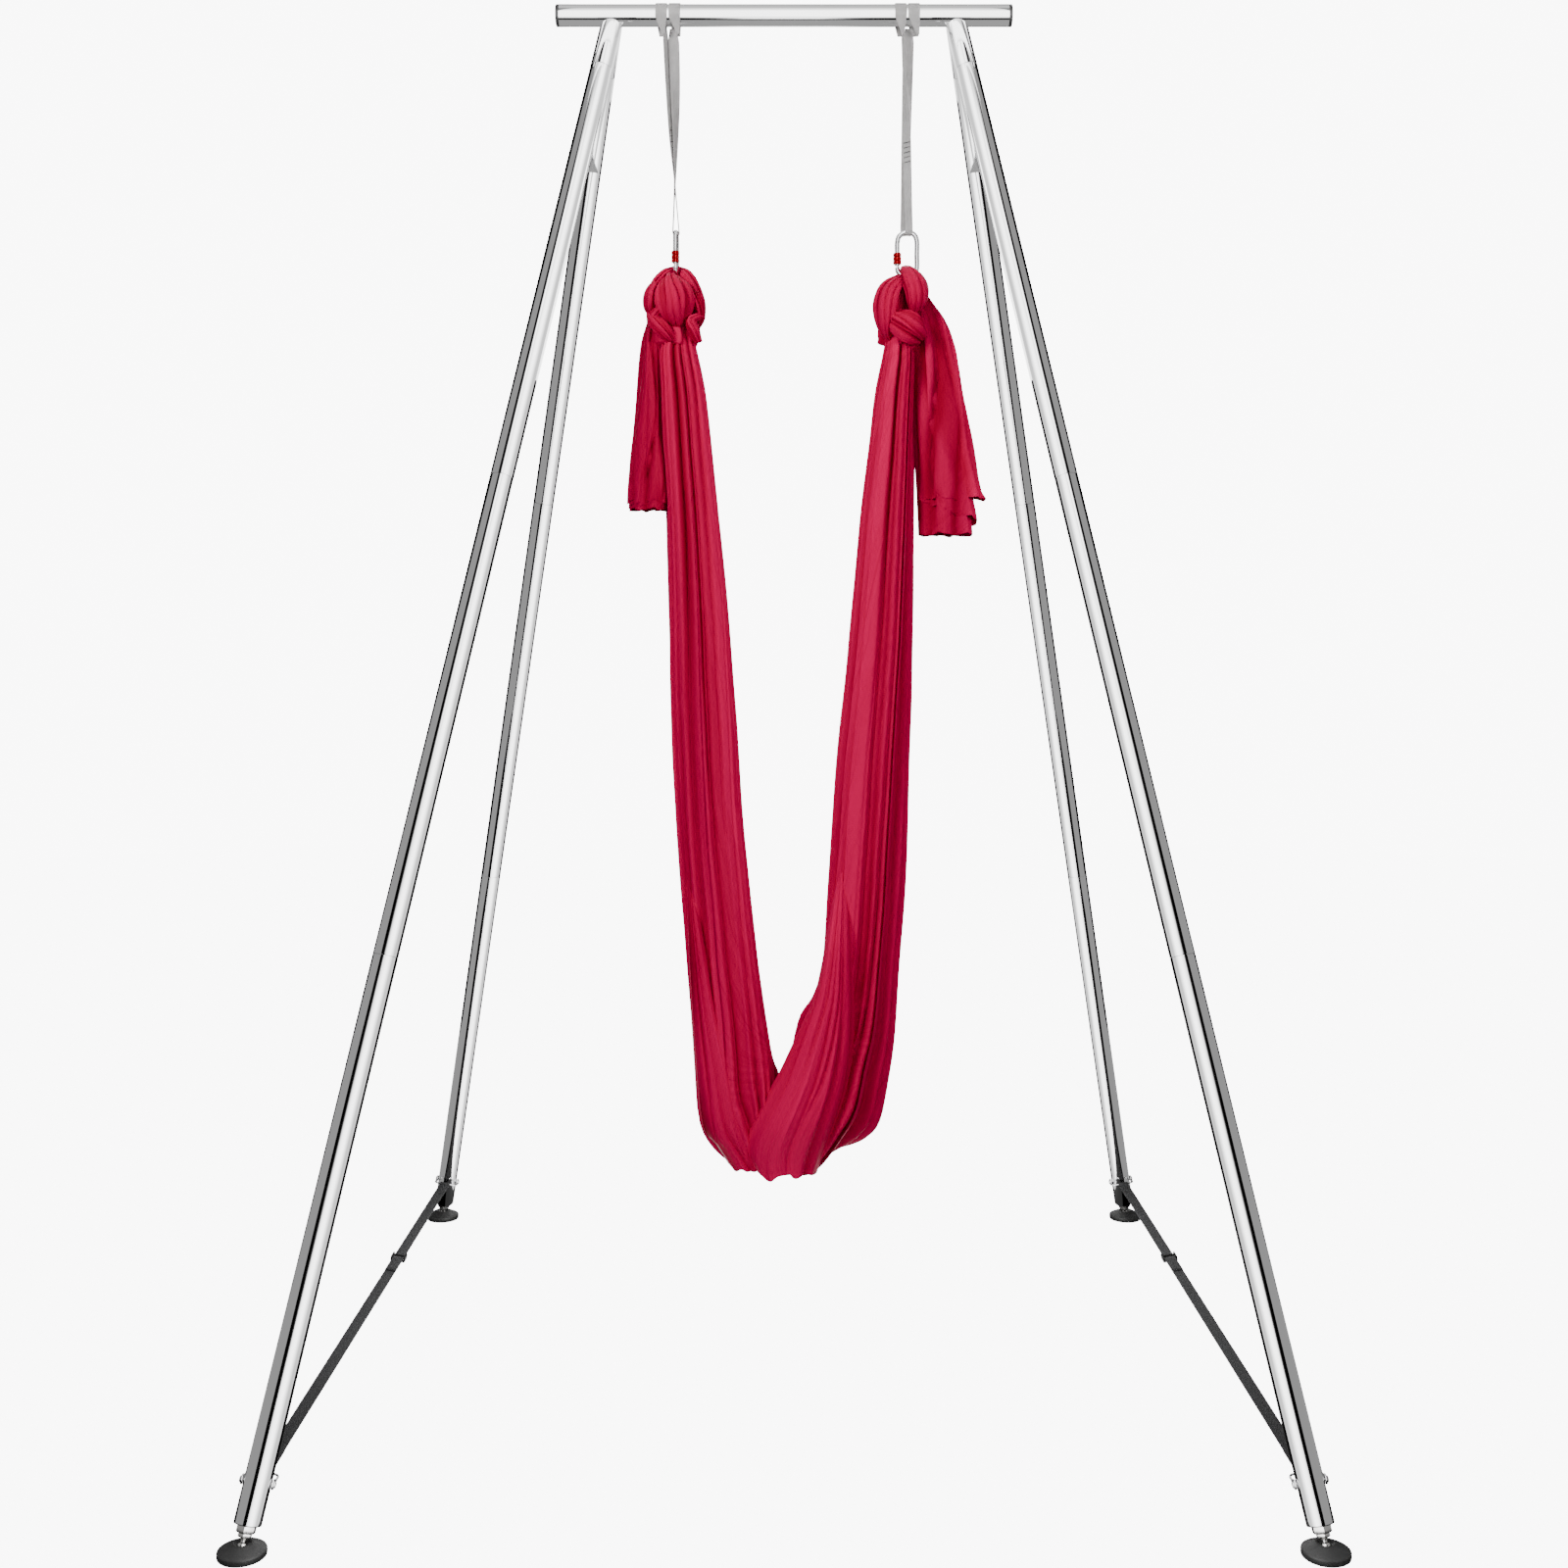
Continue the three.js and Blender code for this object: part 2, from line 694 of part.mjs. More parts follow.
const bandRadius = tubeRadius + bandGap;
const throatTop = bandRadius + slingThickness / 2;
const throatBottom = tubeRadius + throatHeight;
const strandLoop = wireRadius + bandGap + slingThickness / 2;

// One sling from its hitch on the bar to the bow. Strand turns are in degrees from local X.
function sling({ lean, bowTurn, frontTurn, backTurn, frontShift, backShift }) {
  const bandInner = around(bandRadius, tubeSides);
  const bandOuter = around(bandRadius + slingThickness, tubeSides);
  const bands = [-1, 1].map((side) => {
    const middle = (side * (slingWidth + bandSplit)) / 2;
    const low = middle - slingWidth / 2;
    const high = middle + slingWidth / 2;
    const ring = turned([
      [bandInner, low],
      [bandOuter, low],
      [bandOuter, high],
      [bandInner, high],
      [bandInner, low],
    ], tubeSides);
    return ring.rotateY(quarter);
  });
  const hitchHalf = slingWidth + bandSplit / 2;
  const throat = loft([
    [hitchHalf, throatDepth, -bandRadius * 0.8],
    [throatTip * 1.2, throatTip * 0.6, -throatBottom],
  ].map(([halfX, halfY, z]) => [
    vec(halfX, halfY, z), vec(-halfX, halfY, z), vec(-halfX, -halfY, z), vec(halfX, -halfY, z),
  ]));
  const strandSteps = 8;
  const turnOf = (degrees) => vec(
    Math.cos(THREE.MathUtils.degToRad(degrees)),
    Math.sin(THREE.MathUtils.degToRad(degrees)),
    0,
  );
  const bowAcross = turnOf(bowTurn);
  const bowOut = up.clone().cross(bowAcross);
  const strand = (side, topTurn, shift) => {
    const stations = [];
    for (let i = 0; i <= strandSteps; i += 1) {
      const share = i / strandSteps;
      const eased = THREE.MathUtils.smoothstep(share, 0.15, 0.85);
      const high = vec(shift * throatTip, side * slingThickness * 1.5, slingThickness - throatBottom);
      const low = vec(lean, 0, -slingDrop).addScaledVector(bowOut, side * strandLoop);
      const width = slingWidth + (slingBottomWidth - slingWidth) * share;
      const across = turnOf(topTurn + (bowTurn - topTurn) * eased);
      stations.push({ at: high.lerp(low, share), across, width });
    }
    return stations;
  };
  const loopSteps = 6;
  const loop = [];
  for (let i = 1; i < loopSteps; i += 1) {
    const angle = (Math.PI * i) / loopSteps;
    const at = vec(lean, 0, -slingDrop - strandLoop * Math.sin(angle));
    at.addScaledVector(bowOut, -strandLoop * Math.cos(angle));
    loop.push({ at, across: bowAcross, width: slingBottomWidth });
  }
  const front = strand(-1, frontTurn, frontShift);
  const back = strand(1, backTurn, backShift).reverse();
  const frontPiece = ribbon([...front, ...loop.slice(0, 4)]);
  const backPiece = ribbon([...loop.slice(2), ...back]);
  const barCut = bar(bandInner, -barLength / 2, barLength / 2, tubeSides).rotateY(quarter);
  const bowRadius = around(wireRadius + fitGap, wireSides);
  const bow = carabinerWire(bowRadius).rotateZ(THREE.MathUtils.degToRad(bowTurn));
  const whole = joined(throat, frontPiece, backPiece).subtract(solid(barCut));
  const hung = whole.add(joined(...bands)).subtract(solid(bow.translate(lean, 0, -slingDrop)));
  const pieces = hung.decompose();
  pieces.sort((a, b) => b.volume() - a.volume());
  return surface(pieces[0]);
}

// Silk. Ring tables hold shares of the spread between the slings and of the silk's drop.
const bowHeight = barHeight - slingDrop;
const knotBase = bowHeight - knotBelow;
const silkSpread = (rightHitch + leftHitch) / 2;
const silkMiddle = (rightHitch - leftHitch) / 2;

// One ring of folded cloth between an outer and an inner edge point in the X-Z plane.
function foldedRing(outer, inner, halfDepth, folds, foldShares) {
  const middle = outer.clone().add(inner).multiplyScalar(1 / 2);
  const half = outer.clone().sub(inner).multiplyScalar(1 / 2);
  const count = folds * foldShares.length;
  const ring = [];
  for (let i = 0; i < count; i += 1) {
    const angle = (2 * Math.PI * i) / count;
    const reach = foldShares[i % foldShares.length];
    const point = middle.clone().addScaledVector(half, reach * Math.cos(angle));
    ring.push(point.add(vec(0, halfDepth * reach * Math.sin(angle), 0)));
  }
  return ring;
}

const knotProfileShares = [
  [0, 0.6], [0.06, 0.78], [0.2, 0.95], [0.4, 1], [0.6, 0.98], [0.78, 0.84], [0.9, 0.62], [1, 0.3],
];
const pleatShares = [1, 0.95, 0.9, 0.95];
const upperShare = 0.5;

// The arch of cloth through the carabiner: distance out as a share of the knot's half width,
// depth as a share of the eye's height, then thickness and breadth as shares of the half width.
const archShares = [
  [-0.4, 1.75, 0.22, 0.4], [-0.6, 1.38, 0.3, 0.48], [-0.54, 1.12, 0.27, 0.48],
  [-0.38, 0.98, 0.24, 0.44], [-0.235, 0.9, 0.2, 0.36], [-0.16, 0.88, 0.15, 0.15],
  [0.16, 0.88, 0.15, 0.15], [0.235, 0.9, 0.2, 0.36], [0.38, 0.98, 0.24, 0.44],
  [0.54, 1.12, 0.27, 0.48], [0.6, 1.38, 0.3, 0.48], [0.4, 1.75, 0.22, 0.4],
];
const archSides = 8;

// Knot about the point below its carabiner. The arch runs along local Y before it is turned.
function knotSolid(centreShift, halfWidth, archTurn, grow) {
  const ball = loft(knotProfileShares.map(([height, width]) => {
    const z = -knotBelow + height * knotHeight;
    const ring = [];
    const count = knotPleats * pleatShares.length;
    for (let i = 0; i < count; i += 1) {
      const angle = (2 * Math.PI * i) / count;
      const reach = width * pleatShares[i % pleatShares.length];
      const x = centreShift + (halfWidth + grow) * reach * Math.cos(angle);
      const y = (knotHalfDepth + grow) * reach * Math.sin(angle);
      ring.push(vec(x, y, z + (height > upperShare ? grow : -grow)));
    }
    return ring;
  }));
  const arch = loft(archShares.map(([outShare, downShare, thickShare, broadShare], index) => {
    const before = archShares[Math.max(index - 1, 0)];
    const after = archShares[Math.min(index + 1, archShares.length - 1)];
    const along = vec(0, (after[0] - before[0]) * halfWidth, (before[1] - after[1]) * eyeHeight);
    const face = vec(1, 0, 0).cross(along.normalize());
    const middle = vec(fitGap * 10, outShare * halfWidth, -downShare * eyeHeight);
    const thick = thickShare * halfWidth + grow;
    const broad = broadShare * halfWidth + grow;
    const ring = [];
    for (let i = 0; i < archSides; i += 1) {
      const angle = (2 * Math.PI * i) / archSides;
      const point = middle.clone().add(vec(broad * Math.cos(angle), 0, 0));
      ring.push(point.addScaledVector(face, thick * Math.sin(angle)));
    }
    return ring;
  }));
  arch.rotateZ(THREE.MathUtils.degToRad(archTurn));
  return joined(ball, arch);
}

function clearOfCarabiner(body, turn) {
  const clear = around(wireRadius + silkGap, wireSides);
  const wire = carabinerWire(clear).rotateZ(THREE.MathUtils.degToRad(turn));
  return body.subtract(solid(wire));
}

// Rings of the silk from the left knot down, round the low point and up to the right knot:
// outer edge across and down, inner edge across and down.
const silkRingShares = [
  [-1.08, -0.014, -0.755, -0.014], [-1.095, 0.011, -0.737, 0.011],
  [-1.08, 0.058, -0.672, 0.058], [-1.065, 0.116, -0.622, 0.116],
  [-1.03, 0.187, -0.573, 0.187], [-1.01, 0.292, -0.5, 0.292],
  [-0.992, 0.432, -0.424, 0.432], [-0.943, 0.572, -0.359, 0.572],
  [-0.866, 0.713, -0.244, 0.713], [-0.817, 0.79, -0.172, 0.783],
  [-0.78, 0.862, -0.115, 0.83], [-0.73, 0.934, -0.085, 0.853],
  [-0.53, 0.98, -0.07, 0.865], [-0.34, 0.99, -0.058, 0.871],
  [-0.15, 1, -0.048, 0.874], [0.04, 1, -0.036, 0.874],
  [0.19, 0.998, -0.022, 0.871], [0.42, 0.973, -0.008, 0.864],
  [0.63, 0.953, 0.006, 0.853], [0.735, 0.93, 0.03, 0.83],
  [0.8, 0.885, 0.085, 0.8], [0.865, 0.83, 0.2, 0.775],
  [0.905, 0.745, 0.28, 0.735], [0.96, 0.643, 0.32, 0.643],
  [1, 0.502, 0.39, 0.502], [1.04, 0.362, 0.489, 0.362],
  [1.06, 0.221, 0.576, 0.221], [1.065, 0.116, 0.668, 0.116],
  [1.07, 0.058, 0.72, 0.058], [1.07, 0.011, 0.782, 0.011],
  [1.05, -0.014, 0.8, -0.014],
];
const foldShares = [1, 0.58, 0.36];

function silkPlace(acrossShare, downShare) {
  return vec(silkMiddle + acrossShare * silkSpread, 0, knotBase - downShare * silkDrop);
}

const bottomSpreadShare = 0.3;

function silkBody() {
  return loft(silkRingShares.map(([outX, outZ, inX, inZ]) => {
    const nearBottom = THREE.MathUtils.smoothstep((outZ + inZ) / 2, 0.6, 0.95);
    const halfDepth = silkHalfDepth * (1 + bottomSpreadShare * nearBottom);
    const outer = silkPlace(outX, outZ);
    return foldedRing(outer, silkPlace(inX, inZ), halfDepth, silkFolds, foldShares);
  }));
}

// Tails: left and right edges as shares of the silk's spread, depth and drop as shares.
const leftTailShares = [
  [-1.12, -1.2, -0.14, 0.4], [-1.14, -1.23, 0.02, 0.5], [-1.13, -1.245, 0.23, 0.62],
  [-1.11, -1.28, 0.42, 0.74], [-1.085, -1.315, 0.62, 0.84], [-1.05, -1.33, 0.8, 0.92],
  [-1.045, -1.345, 1, 1],
];
const rightTailShares = [
  [1.1, 1.17, -0.22, 0.4], [1.1, 1.3, -0.1, 0.55], [1.09, 1.39, 0.05, 0.62],
  [1.085, 1.46, 0.25, 0.74], [1.085, 1.53, 0.48, 0.84], [1.085, 1.6, 0.74, 0.95],
  [1.085, 1.62, 0.88, 1], [1.085, 1.48, 1, 1],
];
const tailDepth = 34;

function tail(shares, drop) {
  return loft(shares.map(([innerShare, outerShare, downShare, depthShare]) => {
    const z = knotBase - downShare * drop;
    const outer = vec(silkMiddle + outerShare * silkSpread, 0, z);
    const inner = vec(silkMiddle + innerShare * silkSpread, 0, z);
    return foldedRing(outer, inner, tailDepth * depthShare, tailFolds, foldShares);
  }));
}

const sides = {
  left: {
    hitch: -leftHitch,
    knotCentre: leftKnotInset - leftHitch,
    knotHalfWidth: leftKnotHalfWidth,
    tailShares: leftTailShares,
    tailDrop: leftTailDrop,
    form: {
      lean: leftSlingLean,
      bowTurn: 90,
      frontTurn: 90,
      backTurn: 12,
      frontShift: -0.9,
      backShift: 0.5,
    },
  },
  right: {
    hitch: rightHitch,
    knotCentre: rightHitch - rightKnotInset,
    knotHalfWidth: rightKnotHalfWidth,
    tailShares: rightTailShares,
    tailDrop: rightTailDrop,
    form: {
      lean: 0,
      bowTurn: 0,
      frontTurn: 8,
      backTurn: 55,
      frontShift: -0.3,
      backShift: 0.3,
    },
  },
};

const knotCutters = [];

for (const [name, side] of Object.entries(sides)) {
  const { form } = side;
  const slingGroup = new THREE.Group();
  slingGroup.position.set(side.hitch, 0, barHeight);
  rig.add(slingGroup);
  addPiece(slingGroup, `sling_${name}`, sling(form), greyWebbing);
  const carabiner = new THREE.Group();
  carabiner.position.set(side.hitch + form.lean, 0, bowHeight);
  rig.add(carabiner);
  const metal = new THREE.Group();
  metal.rotation.z = THREE.MathUtils.degToRad(form.bowTurn);
  carabiner.add(metal);
  addPiece(metal, `carabiner_${name}`, carabinerBody(), steel);
  addPiece(metal, `gate_${name}`, gate(), steel);
  addPiece(metal, `screw_sleeve_${name}`, screwSleeve(), redAnodised);
  const shift = side.knotCentre - carabiner.position.x;
  const knot = knotSolid(shift, side.knotHalfWidth, form.bowTurn, 0);
  const cleared = clearOfCarabiner(knot, form.bowTurn);
  addPiece(carabiner, `silk_knot_${name}`, surface(cleared), silk);
  const cutter = surface(knotSolid(shift, side.knotHalfWidth, form.bowTurn, silkGap));
  cutter.translate(carabiner.position.x, 0, bowHeight);
  knotCutters.push(cutter);
}

function belowKnots(geometry) {
  const cut = knotCutters.reduce((body, cutter) => body.subtract(solid(cutter)), solid(geometry));
  const pieces = cut.decompose();
  pieces.sort((a, b) => b.volume() - a.volume());
  return surface(pieces[0]);
}

addPiece(rig, 'silk_hammock', belowKnots(silkBody()), silk);
for (const [name, side] of Object.entries(sides)) {
  addPiece(rig, `silk_tail_${name}`, belowKnots(tail(side.tailShares, side.tailDrop)), silk);
}

export default rig;
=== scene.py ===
import json
import math
import random

import bpy
import numpy as np
from mathutils import Matrix, Vector, noise

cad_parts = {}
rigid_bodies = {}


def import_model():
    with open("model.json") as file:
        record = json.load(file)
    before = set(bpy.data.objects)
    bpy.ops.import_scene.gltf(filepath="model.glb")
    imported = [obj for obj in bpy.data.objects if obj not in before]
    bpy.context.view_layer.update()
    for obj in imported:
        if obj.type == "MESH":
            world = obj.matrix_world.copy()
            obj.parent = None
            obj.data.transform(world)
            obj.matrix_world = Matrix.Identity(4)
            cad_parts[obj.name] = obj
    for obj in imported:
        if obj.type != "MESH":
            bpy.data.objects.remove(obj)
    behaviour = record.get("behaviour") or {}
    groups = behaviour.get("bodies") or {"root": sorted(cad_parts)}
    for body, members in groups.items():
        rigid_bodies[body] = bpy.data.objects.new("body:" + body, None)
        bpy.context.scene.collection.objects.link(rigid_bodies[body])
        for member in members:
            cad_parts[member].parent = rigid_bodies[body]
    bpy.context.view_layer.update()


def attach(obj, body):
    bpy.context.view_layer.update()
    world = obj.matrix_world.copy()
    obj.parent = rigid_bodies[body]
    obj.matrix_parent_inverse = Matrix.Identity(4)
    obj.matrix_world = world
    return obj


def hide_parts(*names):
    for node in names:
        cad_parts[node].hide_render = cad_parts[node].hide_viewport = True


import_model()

# Metres, +Z up, the floor at z = 0, the front of the rig at -Y. The sizes are the frame's.
QUARTER = math.pi / 2
FULL_TURN = 2 * math.pi

BAR_HEIGHT = 2.926
BAR_LENGTH = 1.0
TUBE_RADIUS = 0.024
TUBE_WALL = 0.002
BORE_RADIUS = TUBE_RADIUS - TUBE_WALL
FIT_GAP = 0.0003
CAP_FLANGE = 0.007
CAP_PLUG = 0.018
CAP_BEVEL = 0.0012
CAP_DISH = 0.0008

LEG_TOP = Vector((0.380, 0.0, 2.898))
FOOT_PLACE = Vector((0.919, 0.900, 0.016))
STUB_LENGTH = 0.104
SECTION_NAMES = ("upper", "middle", "lower")
SPIGOT_LENGTH = 0.060
STUB_SPIGOT_LENGTH = 0.028
SPIGOT_TAPER = 0.008
FOOT_STACK = 0.035
LEG_LENGTH = (FOOT_PLACE - LEG_TOP).length
TUBE_END = LEG_LENGTH - FOOT_STACK
SECTION_LENGTH = (TUBE_END - STUB_LENGTH) / len(SECTION_NAMES)

PLACES = {
    "front_left": (-1, -1),
    "front_right": (1, -1),
    "rear_left": (-1, 1),
    "rear_right": (1, 1),
}
SIDES = {"left": -1, "right": 1}


# ---------------------------------------------------------------- camera, stage and lights

CAMERA_PLACE = (0.0, -3.956, 1.545)
CAMERA_LENS = 41.38
CAMERA_SHIFT = -0.08875


def deselect():
    """Leaves edit mode and selects nothing."""
    if bpy.context.mode != "OBJECT":
        bpy.ops.object.mode_set(mode="OBJECT")
    bpy.ops.object.select_all(action="DESELECT")


def activate(piece):
    """Selects one object alone."""
    deselect()
    piece.select_set(True)
    bpy.context.view_layer.objects.active = piece


def add_camera():
    deselect()
    bpy.ops.object.camera_add(location=CAMERA_PLACE, rotation=(QUARTER, 0, 0))
    camera = bpy.context.object
    camera.name = "camera"
    camera.data.lens = CAMERA_LENS
    camera.data.shift_y = CAMERA_SHIFT
    bpy.context.scene.camera = camera


class Signal:
    """A number or colour on its way through a finish's nodes."""

    def __init__(self, finish, socket):
        self.finish = finish
        self.socket = socket

    def combine(self, operation, first, second):
        settings = {"operation": operation}
        return self.finish.node("ShaderNodeMath", settings, {0: first, 1: second})

    def __add__(self, other):
        return self.combine("ADD", self, other)

    def __sub__(self, other):
        return self.combine("SUBTRACT", self, other)

    def __rsub__(self, other):
        return self.combine("SUBTRACT", other, self)

    def __mul__(self, other):
        return self.combine("MULTIPLY", self, other)

    __radd__ = __add__
    __rmul__ = __mul__


class Finish:
    """A material whose shader sockets are set by name."""

    def __init__(self, name, shader="ShaderNodeBsdfPrincipled", **constants):
        self.material = bpy.data.materials.new(name)
        self.material.use_nodes = True
        self.tree = self.material.node_tree
        self.tree.nodes.clear()
        self.shader = self.tree.nodes.new(shader)
        self.output = self.tree.nodes.new("ShaderNodeOutputMaterial")
        self.tree.links.new(self.shader.outputs[0], self.output.inputs["Surface"])
        self.feed({key.replace("_", " "): value for key, value in constants.items()})

    def feed(self, sockets, node=None):
        node = node or self.shader
        for key, value in sockets.items():
            if isinstance(value, Signal):
                self.tree.links.new(value.socket, node.inputs[key])
            else:
                node.inputs[key].default_value = value

    def node(self, kind, settings=None, sockets=None, out=0):
        made = self.tree.nodes.new(kind)
        for name, value in (settings or {}).items():
            setattr(made, name, value)
        self.feed(sockets or {}, made)
        return Signal(self, made.outputs[out])

    def place(self):
        """Object coordinates, which are the frame's own because pieces sit unturned."""
        return self.node("ShaderNodeTexCoord", out="Object")

    def cloth_place(self):
        """The piece's UV map, in metres: along the cloth, then across it."""
        return self.node("ShaderNodeTexCoord", out="UV")

    def part_of(self, vector, axis):
        return self.node("ShaderNodeSeparateXYZ", sockets={"Vector": vector}, out=axis)

    def sine(self, value):
        return self.node("ShaderNodeMath", {"operation": "SINE"}, {0: value})

    def size(self, value):
        return self.node("ShaderNodeMath", {"operation": "ABSOLUTE"}, {0: value})

    def clouds(self, vector, scale, detail=3.0, roughness=0.5):
        sockets = {"Vector": vector, "Scale": scale, "Detail": detail, "Roughness": roughness}
        return self.node("ShaderNodeTexNoise", sockets=sockets, out="Fac")

    def stretched(self, vector, scale):
        return self.node("ShaderNodeMapping", sockets={"Vector": vector, "Scale": scale})

    def span(self, value, low, high, to_low=0.0, to_high=1.0):
        sockets = {0: value, 1: low, 2: high, 3: to_low, 4: to_high}
        return self.node("ShaderNodeMapRange", {"clamp": True}, sockets)

    def mixed(self, share, first, second):
        """Two colours mixed by a share."""
        sockets = {0: share, 6: first, 7: second}
        return self.node("ShaderNodeMix", {"data_type": "RGBA"}, sockets, out=2)

    def raised(self, height, strength, distance):
        sockets = {"Height": height, "Strength": strength, "Distance": distance}
        return self.node("ShaderNodeBump", sockets=sockets, out="Normal")


def grey(value):
    return (value, value, value, 1.0)


def hide_from_all_but_gloss(card):
    card.visible_camera = False
    card.visible_diffuse = False
    card.visible_shadow = False
    card.visible_transmission = False
    card.visible_volume_scatter = False


def reflector(name, corners, facing, strength, falloff=None):
    """A one-sided card that polished metal alone sees, with its bright side facing one way."""
    first, second, third = (Vector(corner) for corner in corners[:3])
    if (second - first).cross(third - first).dot(Vector(facing)) < 0:
        corners = corners[::-1]
    mesh = bpy.data.meshes.new(name)
    mesh.from_pydata(corners, [], [tuple(range(len(corners)))])
    card = bpy.data.objects.new(name, mesh)
    bpy.context.scene.collection.objects.link(card)
    finish = Finish(name, "ShaderNodeEmission")
    finish.feed({"Strength": falloff(finish) * strength if falloff else strength})
    back = finish.node("ShaderNodeNewGeometry", out="Backfacing")
    clear = finish.node("ShaderNodeBsdfTransparent")
    glow = Signal(finish, finish.shader.outputs[0])
    shown = finish.node("ShaderNodeMixShader", sockets={0: back, 1: glow, 2: clear})
    finish.feed({"Surface": shown}, finish.output)
    mesh.materials.append(finish.material)
    hide_from_all_but_gloss(card)


# The tent of cards: places in metres, then how brightly the cards shine in the metal.
TENT_FRONT = -2.2
TENT_BACK = 4.0
TENT_SIDE = 4.0
TENT_TOP = 5.2
FLOOR_CARD = 0.002
PANEL_FADE = 0.35
PANEL_EDGE = 0.9
GREY_EDGE = 1.78
GREY_EDGE_LOW = 1.45
GREY_EDGE_BEND = 2.0
SIDE_END = 1.3
CEILING_END = 1.0
WHITE = 5.4
PALE = 1.25
GREY = 0.38
PANEL_DARK = 0.05
FLOOR_SHINE = 0.9
FLOOR_BRIGHT = [
    (0.87, TENT_FRONT), (0.94, -1.44), (0.878, -0.12), (0.896, 0.567), (0.9, TENT_BACK),
]
FLOOR_GREY = [
    (1.8, TENT_FRONT), (1.97, -1.44), (1.30, -0.12), (1.026, 0.567), (1.0, TENT_BACK),
]
CEILING_GREY = [
    (1.78, TENT_FRONT), (1.66, -1.87), (1.55, -1.74), (1.45, -1.58), (1.0, -0.5), (0.95, SIDE_END),
]
BAR_FRONT = -0.12
BAR_FRONT_LOW = 2.98
BAR_FRONT_TOP = 3.25
BAR_NEAR = -0.06
BAR_NEAR_LOW = 2.880
BAR_NEAR_TOP = 2.955
STUB_NEAR_LOW = 2.886
STUB_SPAN = (0.34, 0.43)
BAR_OVER = 3.6
BAR_OVER_REACH = 0.3
BAR_OVER_SHINE = 0.9
BAR_FRONT_SIDE = 0.55
BAR_CARD = 2.6
BAR_LINE = -0.285
BAR_LINE_END = -0.175
BAR_CARD_END = 0.73
BAR_CARD_SIDE = 0.8
BAR_UNDER_SHINE = 0.45
CEILING_TURN = (-1.6, -0.8)
BAR_WHITE = (2.97, 3.04)
BAR_DIM = (3.04, 3.2)
BAR_LOW_EDGE = 2.898
LEG_CARD_GAP = 0.1
LEG_CARD_END = 0.05
LEG_CARD_RISE = -0.9
LEG_GLOW_RISE = (-0.7, -0.17)
LEG_GLOW_FALL = (-0.10, -0.02)
# Row of legs, which way they lean, the bright card's share of the gap and how far it reaches.
LEG_CARDS = (("front", -1, 1.0, -1.2), ("rear", 1, 1.15, -0.6))
# Row of legs, which way they lean, how far behind the leg its dark edge card ends, its top.
LEG_EDGES = (("front", -1, 0.22, 0.8), ("rear", 1, 0.4, 0.2))
LEG_DARK_START = 0.03
EDGE_CARD_SHARE = 0.9
BACK_CARD_SHARE = 1.3
BACK_PANEL = 4.6
BACK_CEILING = 2.0
BACK_CARD = (1.3, 0.4)
BAR_BACK = 0.4
BAR_BACK_SPAN = (2.86, 3.35)
BAR_BACK_SHINE = 2.2


def panel_glow(finish):
    """White in the middle, falling to nearly black at its two sides."""
    across = finish.size(finish.part_of(finish.place(), "X"))
    share = finish.span(across, PANEL_FADE, PANEL_EDGE, 1.0, 0.0)
    return share * share * share * WHITE + PANEL_DARK


def ceiling_glow(finish):
    """The ceiling is bright over the front of the rig and grey over the bar."""
    back = finish.part_of(finish.place(), "Y")
    over_bar = finish.span(back, *CEILING_TURN)
    return panel_glow(finish) * (1.0 - over_bar) + over_bar


def bar_glow(finish):
    """The cards in front of the bar are white level with it and fade upwards and downwards."""
    height = finish.part_of(finish.place(), "Z")
    fade = finish.span(height, *BAR_WHITE, WHITE, 2.2) * finish.span(height, *BAR_DIM, 1.0, 0.45)
    return fade * finish.span(height, BAR_NEAR_LOW, BAR_LOW_EDGE, 0.2, 1.0)


def leg_glow(lean):
    """A card beside a leg: rising to white in front of the leg, pale level with it."""
    slope = lean * FOOT_PLACE.y / (LEG_TOP.z - FOOT_PLACE.z)

    def glow(finish):
        place = finish.place()
        drop = LEG_TOP.z - finish.part_of(place, "Z")
        past = finish.part_of(place, "Y") - drop * slope
        rise = finish.span(past, *LEG_GLOW_RISE, WHITE * 0.45, WHITE)
        return rise * finish.span(past, *LEG_GLOW_FALL, 1.0, PALE / WHITE)
    return glow


def back_glow(finish):
    """The cards behind the legs are plain white, a little brighter towards the floor."""
    return finish.span(finish.part_of(finish.place(), "Z"), 0.0, 3.0, 3.2, 2.2)


def level_card(name, height, outline, strength, falloff=None, down=False):
    """A level card over an outline of (x, y) points, bright upwards or downwards."""
    corners = [(x, y, height) for x, y in outline]
    reflector(name, corners, (0, 0, -1 if down else 1), strength, falloff)


def oblong(side, near, far):
    return [(-side, near), (side, near), (side, far), (-side, far)]


def upright_card(name, ends, depth, heights, facing, strength, falloff=None):
    """An upright card across the rig, between two ends and two heights."""
    (left, right), (low, high) = ends, heights
    reflector(name, [
        (left, depth, low), (right, depth, low), (right, depth, high), (left, depth, high),
    ], (0, facing, 0), strength, falloff)


def leg_card(name, sign, lean, gap, past, drops, falloff):
    """A card inside one leg and parallel to it, between the leg and the silk."""
    foot_drop = LEG_TOP.z - FOOT_PLACE.z
    corners = []
    for drop, ends in zip(drops, (past, past[::-1])):
        share = drop / foot_drop
        x = sign * (LEG_TOP.x - gap + (FOOT_PLACE.x - LEG_TOP.x) * share)
        for end in ends:
            corners.append((x, lean * FOOT_PLACE.y * share + end, LEG_TOP.z - drop))
    reflector(name, corners, (sign, 0, 0), 1.0 if falloff else 0.0, falloff)


